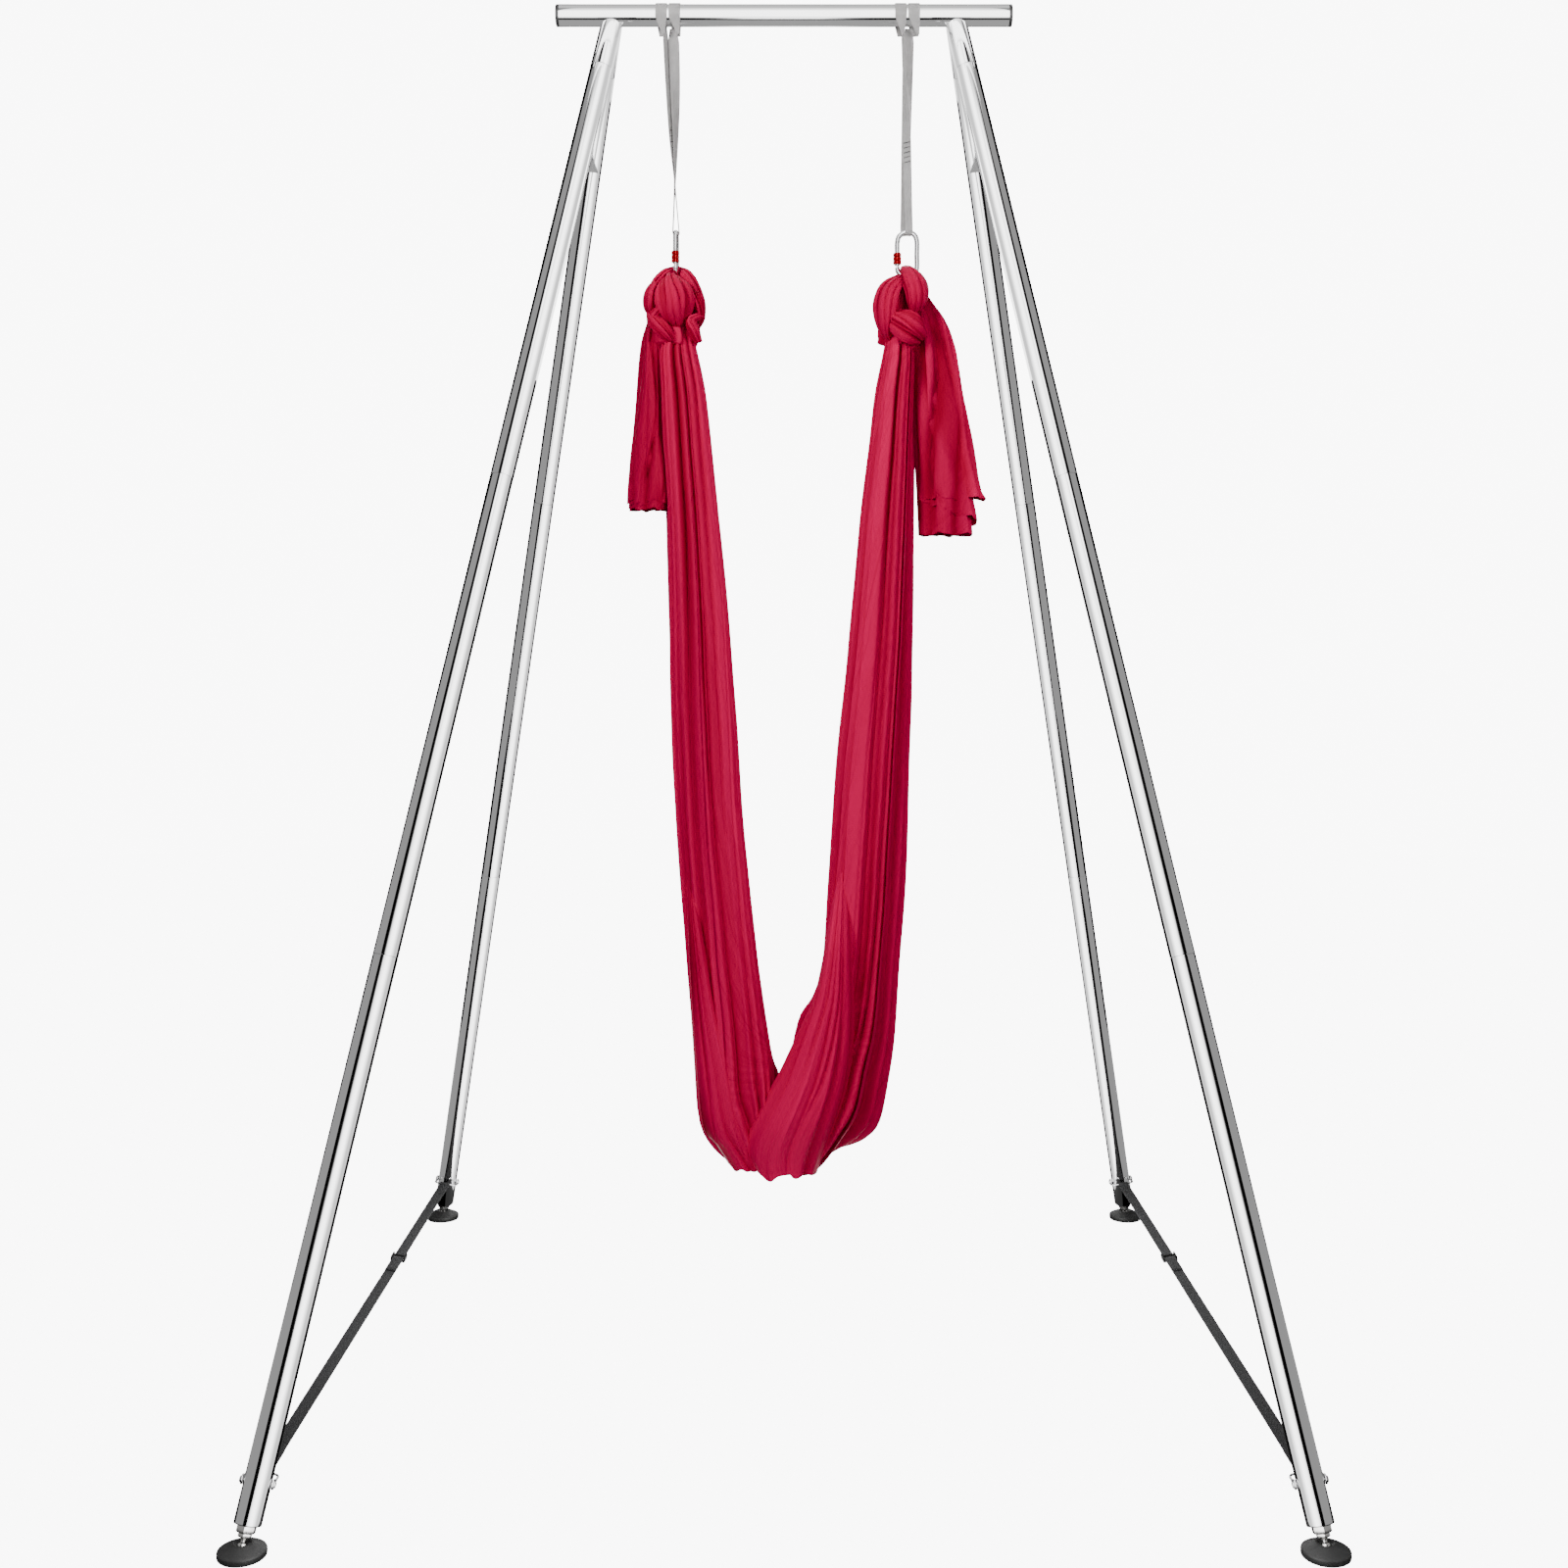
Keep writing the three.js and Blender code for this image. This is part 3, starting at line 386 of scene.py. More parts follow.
def add_reflectors():
    """A tent of cards round the rig: white in front and behind, grey at the sides."""
    top, front = TENT_TOP, TENT_FRONT
    panel = (-PANEL_EDGE, PANEL_EDGE)
    upright_card("front_panel", panel, front, (0, top), 1, 1.0, panel_glow)
    ceiling = oblong(PANEL_EDGE, front, CEILING_END)
    level_card("ceiling_panel", top, ceiling, 1.0, ceiling_glow, down=True)
    upright_card("back_panel", panel, BACK_PANEL, (0, top), -1, 1.0, panel_glow)
    ceiling = oblong(PANEL_EDGE, BACK_CEILING, BACK_PANEL)
    level_card("back_ceiling", top, ceiling, 1.0, panel_glow, down=True)
    mirrored = [(-x, y) for x, y in reversed(FLOOR_BRIGHT)]
    level_card("floor_panel", FLOOR_CARD, FLOOR_BRIGHT + mirrored, FLOOR_SHINE, panel_glow)
    for name, sign in SIDES.items():
        add_side_cards(name, sign)
    side = BAR_FRONT_SIDE
    heights = (BAR_FRONT_LOW, BAR_FRONT_TOP)
    upright_card("bar_front", (-side, side), BAR_FRONT, heights, 1, 1.0, bar_glow)
    upright_card("bar_back", (-side, side), BAR_BACK, BAR_BACK_SPAN, -1, BAR_BACK_SHINE)
    side, (stub_in, stub_out) = BAR_CARD_SIDE, STUB_SPAN
    over = oblong(side, -BAR_OVER_REACH, BAR_OVER_REACH)
    level_card("bar_over", BAR_OVER, over, BAR_OVER_SHINE, down=True)
    # The near card has a lower edge of its own over each stub.
    lows = (BAR_NEAR_LOW, STUB_NEAR_LOW, BAR_NEAR_LOW, STUB_NEAR_LOW, BAR_NEAR_LOW)
    ends = (-side, -stub_out, -stub_in, stub_in, stub_out, side)
    for index, span in enumerate(zip(ends, ends[1:])):
        heights = (lows[index], BAR_NEAR_TOP)
        upright_card(f"bar_near_{index}", span, BAR_NEAR, heights, 1, 1.0, bar_glow)
    level_card("bar_line", BAR_CARD, oblong(side, BAR_LINE, BAR_LINE_END), 0.0)
    under = oblong(side, BAR_LINE_END, BAR_CARD_END)
    level_card("bar_under", BAR_CARD, under, BAR_UNDER_SHINE)


def add_side_cards(name, sign):
    """The grey cards of one side, and the cards inside its two legs."""
    top, front = TENT_TOP, TENT_FRONT
    edge, side = sign * GREY_EDGE, sign * TENT_SIDE
    reflector(f"front_side_{name}", [
        (sign * GREY_EDGE_LOW, front, 0), (side, front, 0), (side, front, top),
        (edge, front, top), (edge, front, GREY_EDGE_BEND),
    ], (0, 1, 0), GREY)
    reflector(f"side_{name}", [
        (side, front, 0), (side, SIDE_END, 0), (side, SIDE_END, top), (side, front, top),
    ], (-sign, 0, 0), GREY)
    level_card(f"floor_side_{name}", FLOOR_CARD, [
        (side, front), *((sign * x, y) for x, y in FLOOR_GREY), (side, TENT_BACK),
    ], GREY)
    level_card(f"ceiling_side_{name}", top, [
        (side, front), *((sign * x, y) for x, y in CEILING_GREY), (side, SIDE_END),
    ], GREY, down=True)
    foot = LEG_TOP.z - FOOT_PLACE.z
    whole = (LEG_CARD_RISE, foot)
    for row, lean, share, reach in LEG_CARDS:
        gap, bright = LEG_CARD_GAP * share, (LEG_CARD_END, reach)
        leg_card(f"{row}_leg_card_{name}", sign, lean, gap, bright, whole, leg_glow(lean))
    gap = LEG_CARD_GAP * EDGE_CARD_SHARE
    for row, lean, far, drop in LEG_EDGES:
        dark = (far, LEG_DARK_START)
        leg_card(f"{row}_edge_{name}", sign, lean, gap, dark, (drop, foot), None)
    gap = LEG_CARD_GAP * BACK_CARD_SHARE
    for row, lean, _, _ in LEG_CARDS:
        leg_card(f"back_{row}_card_{name}", sign, lean, gap, BACK_CARD, whole, back_glow)


STAGE_RADIUS = 13.0
STAGE_CORNER = 2.5
STAGE_STEPS = 12
STAGE_SIDES = 72
STAGE_TOP = 16.0
PAPER_GLOW = 9.0


def add_stage():
    """A pale floor that curves up all round into a plain, evenly lit backdrop."""
    flat = STAGE_RADIUS - STAGE_CORNER
    profile = []
    for step in range(STAGE_STEPS + 1):
        angle = QUARTER * step / STAGE_STEPS
        rise = STAGE_CORNER * (1 - math.cos(angle))
        profile.append((flat + STAGE_CORNER * math.sin(angle), rise))
    profile.append((STAGE_RADIUS, STAGE_TOP))
    turns = [FULL_TURN * side / STAGE_SIDES for side in range(STAGE_SIDES)]
    points = [(r * math.cos(t), r * math.sin(t), z) for r, z in profile for t in turns]
    faces = [tuple(range(STAGE_SIDES))]
    for ring in range(len(profile) - 1):
        start = ring * STAGE_SIDES
        for side in range(STAGE_SIDES):
            after = (side + 1) % STAGE_SIDES
            low, low_after = start + side, start + after
            faces.append((low, low_after, low_after + STAGE_SIDES, low + STAGE_SIDES))
    mesh = bpy.data.meshes.new("backdrop")
    mesh.from_pydata(points, [], faces)
    mesh.polygons.foreach_set("use_smooth", [True] * len(faces))
    backdrop = bpy.data.objects.new("backdrop", mesh)
    bpy.context.scene.collection.objects.link(backdrop)
    paper = Finish("backdrop", Roughness=0.9)
    paper.feed({
        "Base Color": grey(0.93), "Specular IOR Level": 0.0,
        "Emission Color": grey(1.0), "Emission Strength": PAPER_GLOW,
    })
    mesh.materials.append(paper.material)
    backdrop.visible_glossy = False
    backdrop.visible_diffuse = False
    backdrop.visible_shadow = False


ROOM_LIGHT = 0.10
# Each soft light: its place, what it points at, its width and height, its watts.
LIGHTS = {
    "key": ((-2.5, -2.3, 3.5), (-0.2, 0, 1.7), (1.0, 1.4), 150),
    "fill": ((2.7, -2.4, 2.9), (0.2, 0, 1.6), (1.0, 1.4), 95),
    "front": ((0.3, -3.9, 2.6), (0, 0, 1.3), (1.4, 1.4), 22),
    "rear": ((0.5, 3.2, 3.8), (0, 0, 1.4), (3.0, 1.6), 80),
}


def add_light(name, place, aim, size, energy):
    deselect()
    bpy.ops.object.light_add(type="AREA", location=place)
    light = bpy.context.object
    light.name = name
    light.rotation_euler = (Vector(aim) - Vector(place)).to_track_quat("-Z", "Y").to_euler()
    light.data.shape = "RECTANGLE"
    light.data.size, light.data.size_y = size
    light.data.energy = energy
    light.visible_camera = False
    light.visible_glossy = False


def add_lights():
    world = bpy.data.worlds.new("room")
    world.use_nodes = True
    background = world.node_tree.nodes["Background"]
    background.inputs["Color"].default_value = grey(1.0)
    background.inputs["Strength"].default_value = ROOM_LIGHT
    world.cycles_visibility.glossy = False
    bpy.context.scene.world = world
    for name, facts in LIGHTS.items():
        add_light(name, *facts)


add_camera()
add_stage()
add_reflectors()
add_lights()


# ---------------------------------------------------------------- finishes

def chrome(name, tone, gloss):
    """Bright plated steel with faint smears and fine rubbed marks."""
    finish = Finish(name, Metallic=1.0)
    place = finish.place()
    smears = finish.clouds(place, 9.0, 4.0)
    rubs = finish.clouds(finish.stretched(place, (90.0, 90.0, 9.0)), 6.0, 5.0, 0.6)
    finish.feed({
        "Base Color": finish.mixed(smears, grey(tone * 0.96), (tone, tone, tone * 1.01, 1.0)),
        "Roughness": gloss + smears * 0.03 + rubs * 0.035,
        "Normal": finish.raised(rubs, 0.03, 0.0002),
    })
    return finish.material


def nickel():
    """Plated nuts and studs, a little duller where the spanner sits."""
    finish = Finish("nickel", Metallic=1.0)
    place = finish.place()
    marks = finish.clouds(place, 260.0, 4.0, 0.6)
    stain = finish.clouds(place, 60.0, 2.0)
    finish.feed({
        "Base Color": finish.mixed(stain, (0.62, 0.60, 0.57, 1.0), (0.84, 0.84, 0.83, 1.0)),
        "Roughness": 0.13 + marks * 0.16,
        "Normal": finish.raised(marks, 0.12, 0.0002),
    })
    return finish.material


def moulded(name, dark, light, roughness, grain):
    """Black plastic or rubber with a fine moulded grain and pale scuffs."""
    finish = Finish(name)
    place = finish.place()
    pits = finish.clouds(place, grain, 5.0, 0.65)
    scuffs = finish.span(finish.clouds(place, 35.0, 6.0, 0.7), 0.56, 0.78)
    finish.feed({
        "Base Color": finish.mixed(scuffs, grey(dark), grey(light)),
        "Roughness": roughness + pits * 0.12 + scuffs * 0.12,
        "Normal": finish.raised(pits, 0.25, 0.0004),
    })
    return finish.material


def anodised():
    """Red anodised sleeve, rubbed pale on the tips of its knurl."""
    finish = Finish("red_anodised", Metallic=1.0)
    place = finish.place()
    wear = finish.span(finish.clouds(place, 420.0, 4.0, 0.65), 0.58, 0.75)
    finish.feed({
        "Base Color": finish.mixed(wear, (0.34, 0.004, 0.012, 1.0), (0.55, 0.10, 0.11, 1.0)),
        "Roughness": 0.24 + wear * 0.2,
    })
    return finish.material


WEAVE_PITCH = 0.0016


def webbing_finish(name, dark, light, roughness, sheen):
    """Flat woven webbing: ribs across, warp ends along; its colour is painted paler on the high threads (a painted
    highlight) and darker between them (painted shade).
    """
    finish = Finish(name)
    finish.feed({"Sheen Weight": sheen, "Sheen Roughness": 0.4, "Specular IOR Level": 0.25})
    cloth = finish.cloth_place()
    along = finish.part_of(cloth, "X")
    across = finish.part_of(cloth, "Y")
    turns = FULL_TURN / WEAVE_PITCH
    warp = finish.sine(across * turns)
    weft = finish.sine(along * turns + finish.sine(across * (turns / 2)) * 1.6)
    thread = (warp * weft + 1.0) * 0.5
    shade = finish.clouds(finish.place(), 38.0, 4.0, 0.6)
    fuzz = finish.clouds(finish.place(), 900.0, 3.0, 0.7)
    # Painted highlight on the raised threads and painted shade between them, mixed with uneven tone and fuzz.
    share = finish.span(thread * 0.45 + shade * 0.5 + fuzz * 0.25, 0.2, 1.0)
    finish.feed({
        "Base Color": finish.mixed(share, dark, light),
        "Roughness": roughness + fuzz * 0.1,
        "Normal": finish.raised(thread + fuzz * 0.4, 0.5, 0.0003),
    })
    return finish.material


def sewing_thread():
    """Dark bonded thread, twisted."""
    finish = Finish("dark_thread")
    place = finish.place()
    twist = finish.clouds(finish.stretched(place, (1.0, 1.0, 3.0)), 1500.0, 2.0)
    finish.feed({
        "Base Color": finish.mixed(twist, grey(0.012), grey(0.05)),
        "Roughness": 0.5 + twist * 0.3,
        "Normal": finish.raised(twist, 0.4, 0.0002),
    })
    return finish.material


def silk_finish():
    """Crimson tricot: a satin face and fine wales along the cloth; the colour holds painted light on the fold crests
    and painted shade in the folds and pleat grooves.
    """
    finish = Finish("silk")
    finish.feed({
        "Sheen Weight": 0.05,
        "Sheen Roughness": 0.4,
        "Sheen Tint": (1.0, 0.02, 0.12, 1.0),
        "Specular IOR Level": 0.2,
        "Specular Tint": (1.0, 0.02, 0.10, 1.0),
    })
    cloth = finish.cloth_place()
    knit = finish.clouds(finish.stretched(cloth, (300.0, 900.0, 1.0)), 2.0, 3.0, 0.6)
    bands = finish.clouds(finish.stretched(cloth, (0.6, 9.0, 1.0)), 4.0, 4.0, 0.55)
    # Painted light and shade: this attribute is high on the fold crests and low in the fold valleys.
    crest_light = finish.node("ShaderNodeAttribute", {"attribute_name": "crest_light"}, out="Fac")
    creases = finish.clouds(finish.stretched(cloth, (0.9, 26.0, 1.0)), 2.0, 3.0, 0.5)
    pleats = finish.clouds(finish.stretched(cloth, (1.1, 70.0, 1.0)), 2.0, 2.0, 0.5)
    # Painted shade: the colour is darkened in the grooves of the pleat bump.
    painted_pleat_shade = finish.span(pleats, 0.30, 0.44, 0.72, 1.0)
    share = finish.span(crest_light * 0.75 + bands * 0.45, 0.15, 1.0) * painted_pleat_shade
    finish.feed({
        # The dark colour is the painted shade in the folds and the light one is the painted light on the crests; the
        # bands add long streaks of uneven tone.
        "Base Color": finish.mixed(share, (0.26, 0.0003, 0.016, 1.0), (0.72, 0.0005, 0.092, 1.0)),
        "Roughness": 0.38 + knit * 0.12,
        "Normal": finish.raised(knit * 0.03 + creases * 0.8 + pleats * 0.2, 0.28, 0.004),
    })
    return finish.material


# The finish of each of the record's slots, and of the thread that sews the webbing.
FINISHES = {
    "steel_tube": chrome("steel_tube", 0.86, 0.035),
    "polished_hardware": chrome("polished_hardware", 0.84, 0.07),
    "zinc_hardware": nickel(),
    "black_plastic": moulded("black_plastic", 0.006, 0.012, 0.36, 900.0),
    "rubber": moulded("rubber", 0.022, 0.04, 0.5, 1300.0),
    "red_anodised": anodised(),
    "black_webbing": webbing_finish(
        "black_webbing", (0.006, 0.006, 0.0065, 1.0), (0.019, 0.019, 0.020, 1.0), 0.7, 0.05,
    ),
    "grey_webbing": webbing_finish(
        "grey_webbing", (0.26, 0.25, 0.247, 1.0), (0.62, 0.605, 0.60, 1.0), 0.62, 0.12,
    ),
    "thread": sewing_thread(),
    "silk": silk_finish(),
}


# ---------------------------------------------------------------- making and placing pieces

TURNED_SIDES = 64
SHARP_ANGLE = math.radians(32)
FACET_ANGLE = math.radians(25)
FORGED_ANGLE = math.radians(35)
CORNER_ANGLE = math.radians(40)
CURVED_ANGLE = math.radians(50)
MERGE_GAP = 0.00001


def frame_matrix(x_axis, y_axis, z_axis, origin):
    matrix = Matrix((x_axis, y_axis, z_axis)).transposed().to_4x4()
    matrix.translation = origin
    return matrix


def edit(piece, name):
    """Names a new primitive and opens it for editing, all selected."""
    piece.name = piece.data.name = name
    bpy.ops.object.mode_set(mode="EDIT")
    bpy.ops.mesh.select_all(action="SELECT")


def bake_place(piece, matrix=None):
    """Puts a piece's place into its mesh, so that its object sits at the origin, unturned."""
    activate(piece)
    if matrix is not None:
        piece.matrix_world = matrix
    bpy.ops.object.transform_apply(location=True, rotation=True, scale=True)


def shade(piece, angle):
    activate(piece)
    bpy.ops.object.shade_smooth_by_angle(angle=angle)


def put_down(piece, matrix, angle=SHARP_ANGLE):
    """Bakes a hard piece's place and shades it smooth up to an angle."""
    bake_place(piece, matrix)
    shade(piece, angle)


def soften(piece, width, segments=2, angle=SHARP_ANGLE):
    """Rounds a piece's sharp edges."""
    activate(piece)
    bpy.ops.object.modifier_add(type="BEVEL")
    bevel = piece.modifiers[-1]
    bevel.width = width
    bevel.segments = segments
    bevel.limit_method = "ANGLE"
    bevel.angle_limit = angle
    bpy.ops.object.modifier_apply(modifier=bevel.name)


def carve(piece, cutter, operation="DIFFERENCE"):
    """Cuts or joins one piece with another, which is used up."""
    activate(piece)
    bpy.ops.object.modifier_add(type="BOOLEAN")
    cut = piece.modifiers[-1]
    cut.operation = operation
    cut.solver = "EXACT"
    cut.object = cutter
    bpy.ops.object.modifier_apply(modifier=cut.name)
    bpy.data.objects.remove(cutter)


def turned(name, profile, sides=TURNED_SIDES):
    """A shape turned about Z by extruding a circle from one (radius, height) pair to the next."""
    deselect()
    radius, height = profile[0]
    bpy.ops.mesh.primitive_circle_add(vertices=sides, radius=radius, location=(0, 0, height))
    piece = bpy.context.object
    edit(piece, name)
    for next_radius, next_height in profile[1:]:
        step = {"value": (0, 0, next_height - height)}
        bpy.ops.mesh.extrude_region_move(TRANSFORM_OT_translate=step)
        share = next_radius / radius
        bpy.ops.transform.resize(value=(share, share, 1), center_override=(0, 0, next_height))
        radius, height = next_radius, next_height
    bpy.ops.mesh.select_all(action="SELECT")
    if profile[0] == profile[-1]:
        bpy.ops.mesh.remove_doubles(threshold=MERGE_GAP)
    else:
        bpy.ops.mesh.fill_holes(sides=0)
    bpy.ops.mesh.select_all(action="SELECT")
    bpy.ops.mesh.normals_make_consistent(inside=False)
    bake_place(piece)
    return piece


def prism(name, radius, low, high, sides):
    """A plain bar along Z, closed at both ends."""
    deselect()
    bpy.ops.mesh.primitive_cylinder_add(
        vertices=sides, radius=radius, depth=high - low, location=(0, 0, (low + high) / 2),
    )
    piece = bpy.context.object
    piece.name = piece.data.name = name
    bake_place(piece)
    return piece


def box(name, low, high):
    deselect()
    bpy.ops.mesh.primitive_cube_add(size=1)
    piece = bpy.context.object
    piece.name = piece.data.name = name
    low, high = Vector(low), Vector(high)
    bake_place(piece, Matrix.Translation((low + high) / 2) @ Matrix.Diagonal((*(high - low), 1)))
    return piece


def duplicate(master, name, matrix, angle=SHARP_ANGLE):
    """A copy with its own mesh, put down at its place."""
    activate(master)
    bpy.ops.object.duplicate(linked=False)
    twin = bpy.context.object
    twin.name = twin.data.name = name
    put_down(twin, matrix, angle)
    return twin


def discard(*pieces):
    for piece in pieces:
        bpy.data.objects.remove(piece)


def join(name, pieces):
    """Several pieces made one object."""
    deselect()
    for piece in pieces:
        piece.select_set(True)
    bpy.context.view_layer.objects.active = pieces[0]
    bpy.ops.object.join()
    whole = bpy.context.object
    whole.name = whole.data.name = name
    return whole


def settle(piece, body, slot, *nodes, finish=None):
    """Gives a piece its material, the body that it rides on and the nodes it stands for."""
    piece.data.materials.clear()
    piece.data.materials.append(FINISHES[finish or slot])
    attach(piece, body)
    if nodes:
        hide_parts(*nodes)


CURVE_STEPS = 24


def resample(table, count):
    """Rows that run smoothly through a table's own rows, evenly spaced along them."""
    rows = np.array(table, float)
    padded = np.vstack([2 * rows[0] - rows[1], rows, 2 * rows[-1] - rows[-2]])
    fine = []
    for p0, p1, p2, p3 in zip(padded, padded[1:], padded[2:], padded[3:]):
        for s in np.linspace(0, 1, CURVE_STEPS, endpoint=False):
            square = (2 * p0 - 5 * p1 + 4 * p2 - p3) * s * s
            cube = (3 * p1 - p0 - 3 * p2 + p3) * s ** 3
            fine.append(0.5 * (2 * p1 + (p2 - p0) * s + square + cube))
    fine = np.array(fine + [rows[-1]])
    lengths = np.concatenate([[0], np.cumsum(np.linalg.norm(np.diff(fine, axis=0), axis=1))])
    wanted = np.linspace(0, lengths[-1], count)
    return np.column_stack([np.interp(wanted, lengths, column) for column in fine.T])


def wire(name, points, radius, fineness=5):
    """A round wire bent along a row of points."""
    deselect()
    bpy.ops.curve.primitive_bezier_curve_add()
    piece = bpy.context.object
    curve = piece.data
    curve.splines.clear()
    spline = curve.splines.new("POLY")
    spline.points.add(len(points) - 1)
    for knot, point in zip(spline.points, points):
        knot.co = (*point, 1.0)
    curve.bevel_depth = radius
    curve.bevel_resolution = fineness
    curve.use_fill_caps = True
    bpy.ops.object.convert(target="MESH")
    edit(piece, name)
    bpy.ops.mesh.remove_doubles(threshold=MERGE_GAP)
    bpy.ops.mesh.normals_make_consistent(inside=False)
    deselect()
    return piece


# ---------------------------------------------------------------- crossbar, legs and feet

BAR_FRAME = Matrix.Translation((0, 0, BAR_HEIGHT)) @ Matrix.Rotation(QUARTER, 4, "Y")


def make_crossbar():
    end = BAR_LENGTH / 2 - CAP_FLANGE
    tube = turned("bar_tube", [
        (TUBE_RADIUS, -end), (TUBE_RADIUS, end), (BORE_RADIUS, end),
        (BORE_RADIUS, -end), (TUBE_RADIUS, -end),
    ])
    soften(tube, 0.0006)
    put_down(tube, BAR_FRAME)
    settle(tube, "rig", "steel_tube", "crossbar")
    plug = BORE_RADIUS - FIT_GAP
    face = BAR_LENGTH / 2
    master = turned("cap_master", [
        (plug - 0.001, end - CAP_PLUG), (plug, end - CAP_PLUG + 0.003), (plug, end + FIT_GAP),
        (TUBE_RADIUS, end + FIT_GAP), (TUBE_RADIUS, face - CAP_BEVEL),
        (TUBE_RADIUS - CAP_BEVEL, face), (TUBE_RADIUS * 0.7, face),
        (TUBE_RADIUS * 0.66, face - CAP_DISH), (0.004, face - CAP_DISH),
    ])
    soften(master, 0.0004, 2, CORNER_ANGLE)
    for name, sign in SIDES.items():
        half_turn = Matrix.Rotation(0 if sign > 0 else math.pi, 4, "X")
        cap = duplicate(master, f"bar_cap_{name}", BAR_FRAME @ half_turn)
        settle(cap, "rig", "black_plastic", f"end_cap_{name}")
    discard(master)


def leg_axes(side_x, side_y):
    """The line down a leg, the line to its strap, the square of that to the leg, the pin's line."""
    run = FOOT_PLACE - LEG_TOP
    down = Vector((run.x * side_x, run.y * side_y, run.z)).normalized()
    inward = Vector((0, -side_y, 0))
    square = (inward - down * inward.dot(down)).normalized()
    return down, inward, square, square.cross(down)


def leg_frame(side_x, side_y):
    down, _, square, pin_line = leg_axes(side_x, side_y)
    return frame_matrix(pin_line, square, down, Vector((LEG_TOP.x * side_x, 0, LEG_TOP.z)))


STUB_RING = 0.006
STUB_RINGS = 20
STUB_LIP = 0.0005
MITRE_REACH = 0.4


def make_stub(place, matrix, side_y):
    """A short tube coped round the bar and mitred against the stub of the opposite leg."""
    rings = [(TUBE_RADIUS, -TUBE_RADIUS + step * STUB_RING) for step in range(STUB_RINGS)]
    end = STUB_LENGTH - FIT_GAP / 2
    tube = turned(f"stub_tube_{place}", [
        *rings, (TUBE_RADIUS, end - STUB_LIP), (TUBE_RADIUS - STUB_LIP, end),
        (BORE_RADIUS, end), (BORE_RADIUS, -TUBE_RADIUS), (TUBE_RADIUS, -TUBE_RADIUS),
    ], 96)
    bake_place(tube, matrix)
    cope = prism("cope", TUBE_RADIUS + FIT_GAP, -BAR_LENGTH / 2, BAR_LENGTH / 2, 128)
    bake_place(cope, BAR_FRAME)
    carve(tube, cope)
    beyond = sorted((side_y * FIT_GAP / 2, -side_y * MITRE_REACH))
    carve(tube, box("mitre", (-1, beyond[0], 2), (1, beyond[1], 3.2)))
    activate(tube)
    bpy.ops.object.mode_set(mode="EDIT")
    bpy.ops.mesh.select_all(action="SELECT")
    bpy.ops.mesh.separate(type="LOOSE")
    deselect()
    parts = [o for o in bpy.context.scene.objects if o.name.startswith(f"stub_tube_{place}")]
    parts.sort(key=lambda part: len(part.data.vertices))
    stub = parts.pop()
    discard(*parts)
    stub.name = stub.data.name = f"stub_tube_{place}"
    shade(stub, SHARP_ANGLE)
    settle(stub, "rig", "steel_tube", f"stub_{place}")


SECTION_LIP = 0.0009
PIN_RING = 0.007


def leg_section(index):
    """A tube with rounded lips whose drawn-in end plugs into the tube above it."""
    top = STUB_LENGTH + index * SECTION_LENGTH
    bottom = top + SECTION_LENGTH - FIT_GAP / 2
    shoulder = top + FIT_GAP / 2
    spigot_top = top - (STUB_SPIGOT_LENGTH if index == 0 else SPIGOT_LENGTH)
    spigot = BORE_RADIUS - FIT_GAP
    bore = spigot - TUBE_WALL
    lip = SECTION_LIP
    return turned(f"section_{index}", [
        (TUBE_RADIUS - lip, shoulder), (TUBE_RADIUS - lip * 0.3, shoulder + lip * 0.4),
        (TUBE_RADIUS, shoulder + lip * 1.2), (TUBE_RADIUS, bottom - PIN_SETBACK - PIN_RING),
        (TUBE_RADIUS, bottom - PIN_SETBACK + PIN_RING), (TUBE_RADIUS, bottom - lip * 2.4),
        (TUBE_RADIUS, bottom - lip), (TUBE_RADIUS - lip * 0.3, bottom - lip * 0.3),
        (TUBE_RADIUS - lip, bottom),
        (BORE_RADIUS, bottom), (BORE_RADIUS, shoulder + SPIGOT_TAPER), (bore, shoulder),
        (bore, spigot_top), (spigot - 0.0006, spigot_top), (spigot, spigot_top + 0.0006),
        (spigot, shoulder), (TUBE_RADIUS - lip, shoulder),
    ])


INSERT_PLUG = 0.014
INSERT_HEX = 0.0175
INSERT_HEIGHT = 0.013
LOCK_NUT = 0.0125
LOCK_NUT_HEIGHT = 0.007
STUD_RADIUS = 0.007
STUD_NECK = 0.005
STUD_NECK_LENGTH = 0.011
STUD_REACH = 0.060
THREAD_PITCH = 0.002
THREAD_DEPTH = 0.001
BALL_RADIUS = 0.009
BALL_STEPS = 14
CUP_RADIUS = BALL_RADIUS + 0.0005
CUP_LIP = 0.0038
CUP_STEPS = 10
# The pad's outside as radius and height over the floor: sole, rolled rim, cone and mouth.
PAD_PROFILE = [
    (0.030, 0.0012), (0.0315, 0.0), (0.0345, 0.0), (0.036, 0.0012),
    (0.038, 0.0004), (0.0402, 0.0004), (0.0416, 0.0016),
    (0.042, 0.0035), (0.042, 0.0098), (0.0414, 0.0113),
    (0.0395, 0.0126), (0.034, 0.0150), (0.027, 0.0184),
    (0.0205, 0.0216), (0.0182, 0.0226), (0.0168, 0.0230),
    (0.0146, 0.0230), (0.0134, 0.0226), (0.0128, 0.0216),
]
DRILL_REACH = 0.06


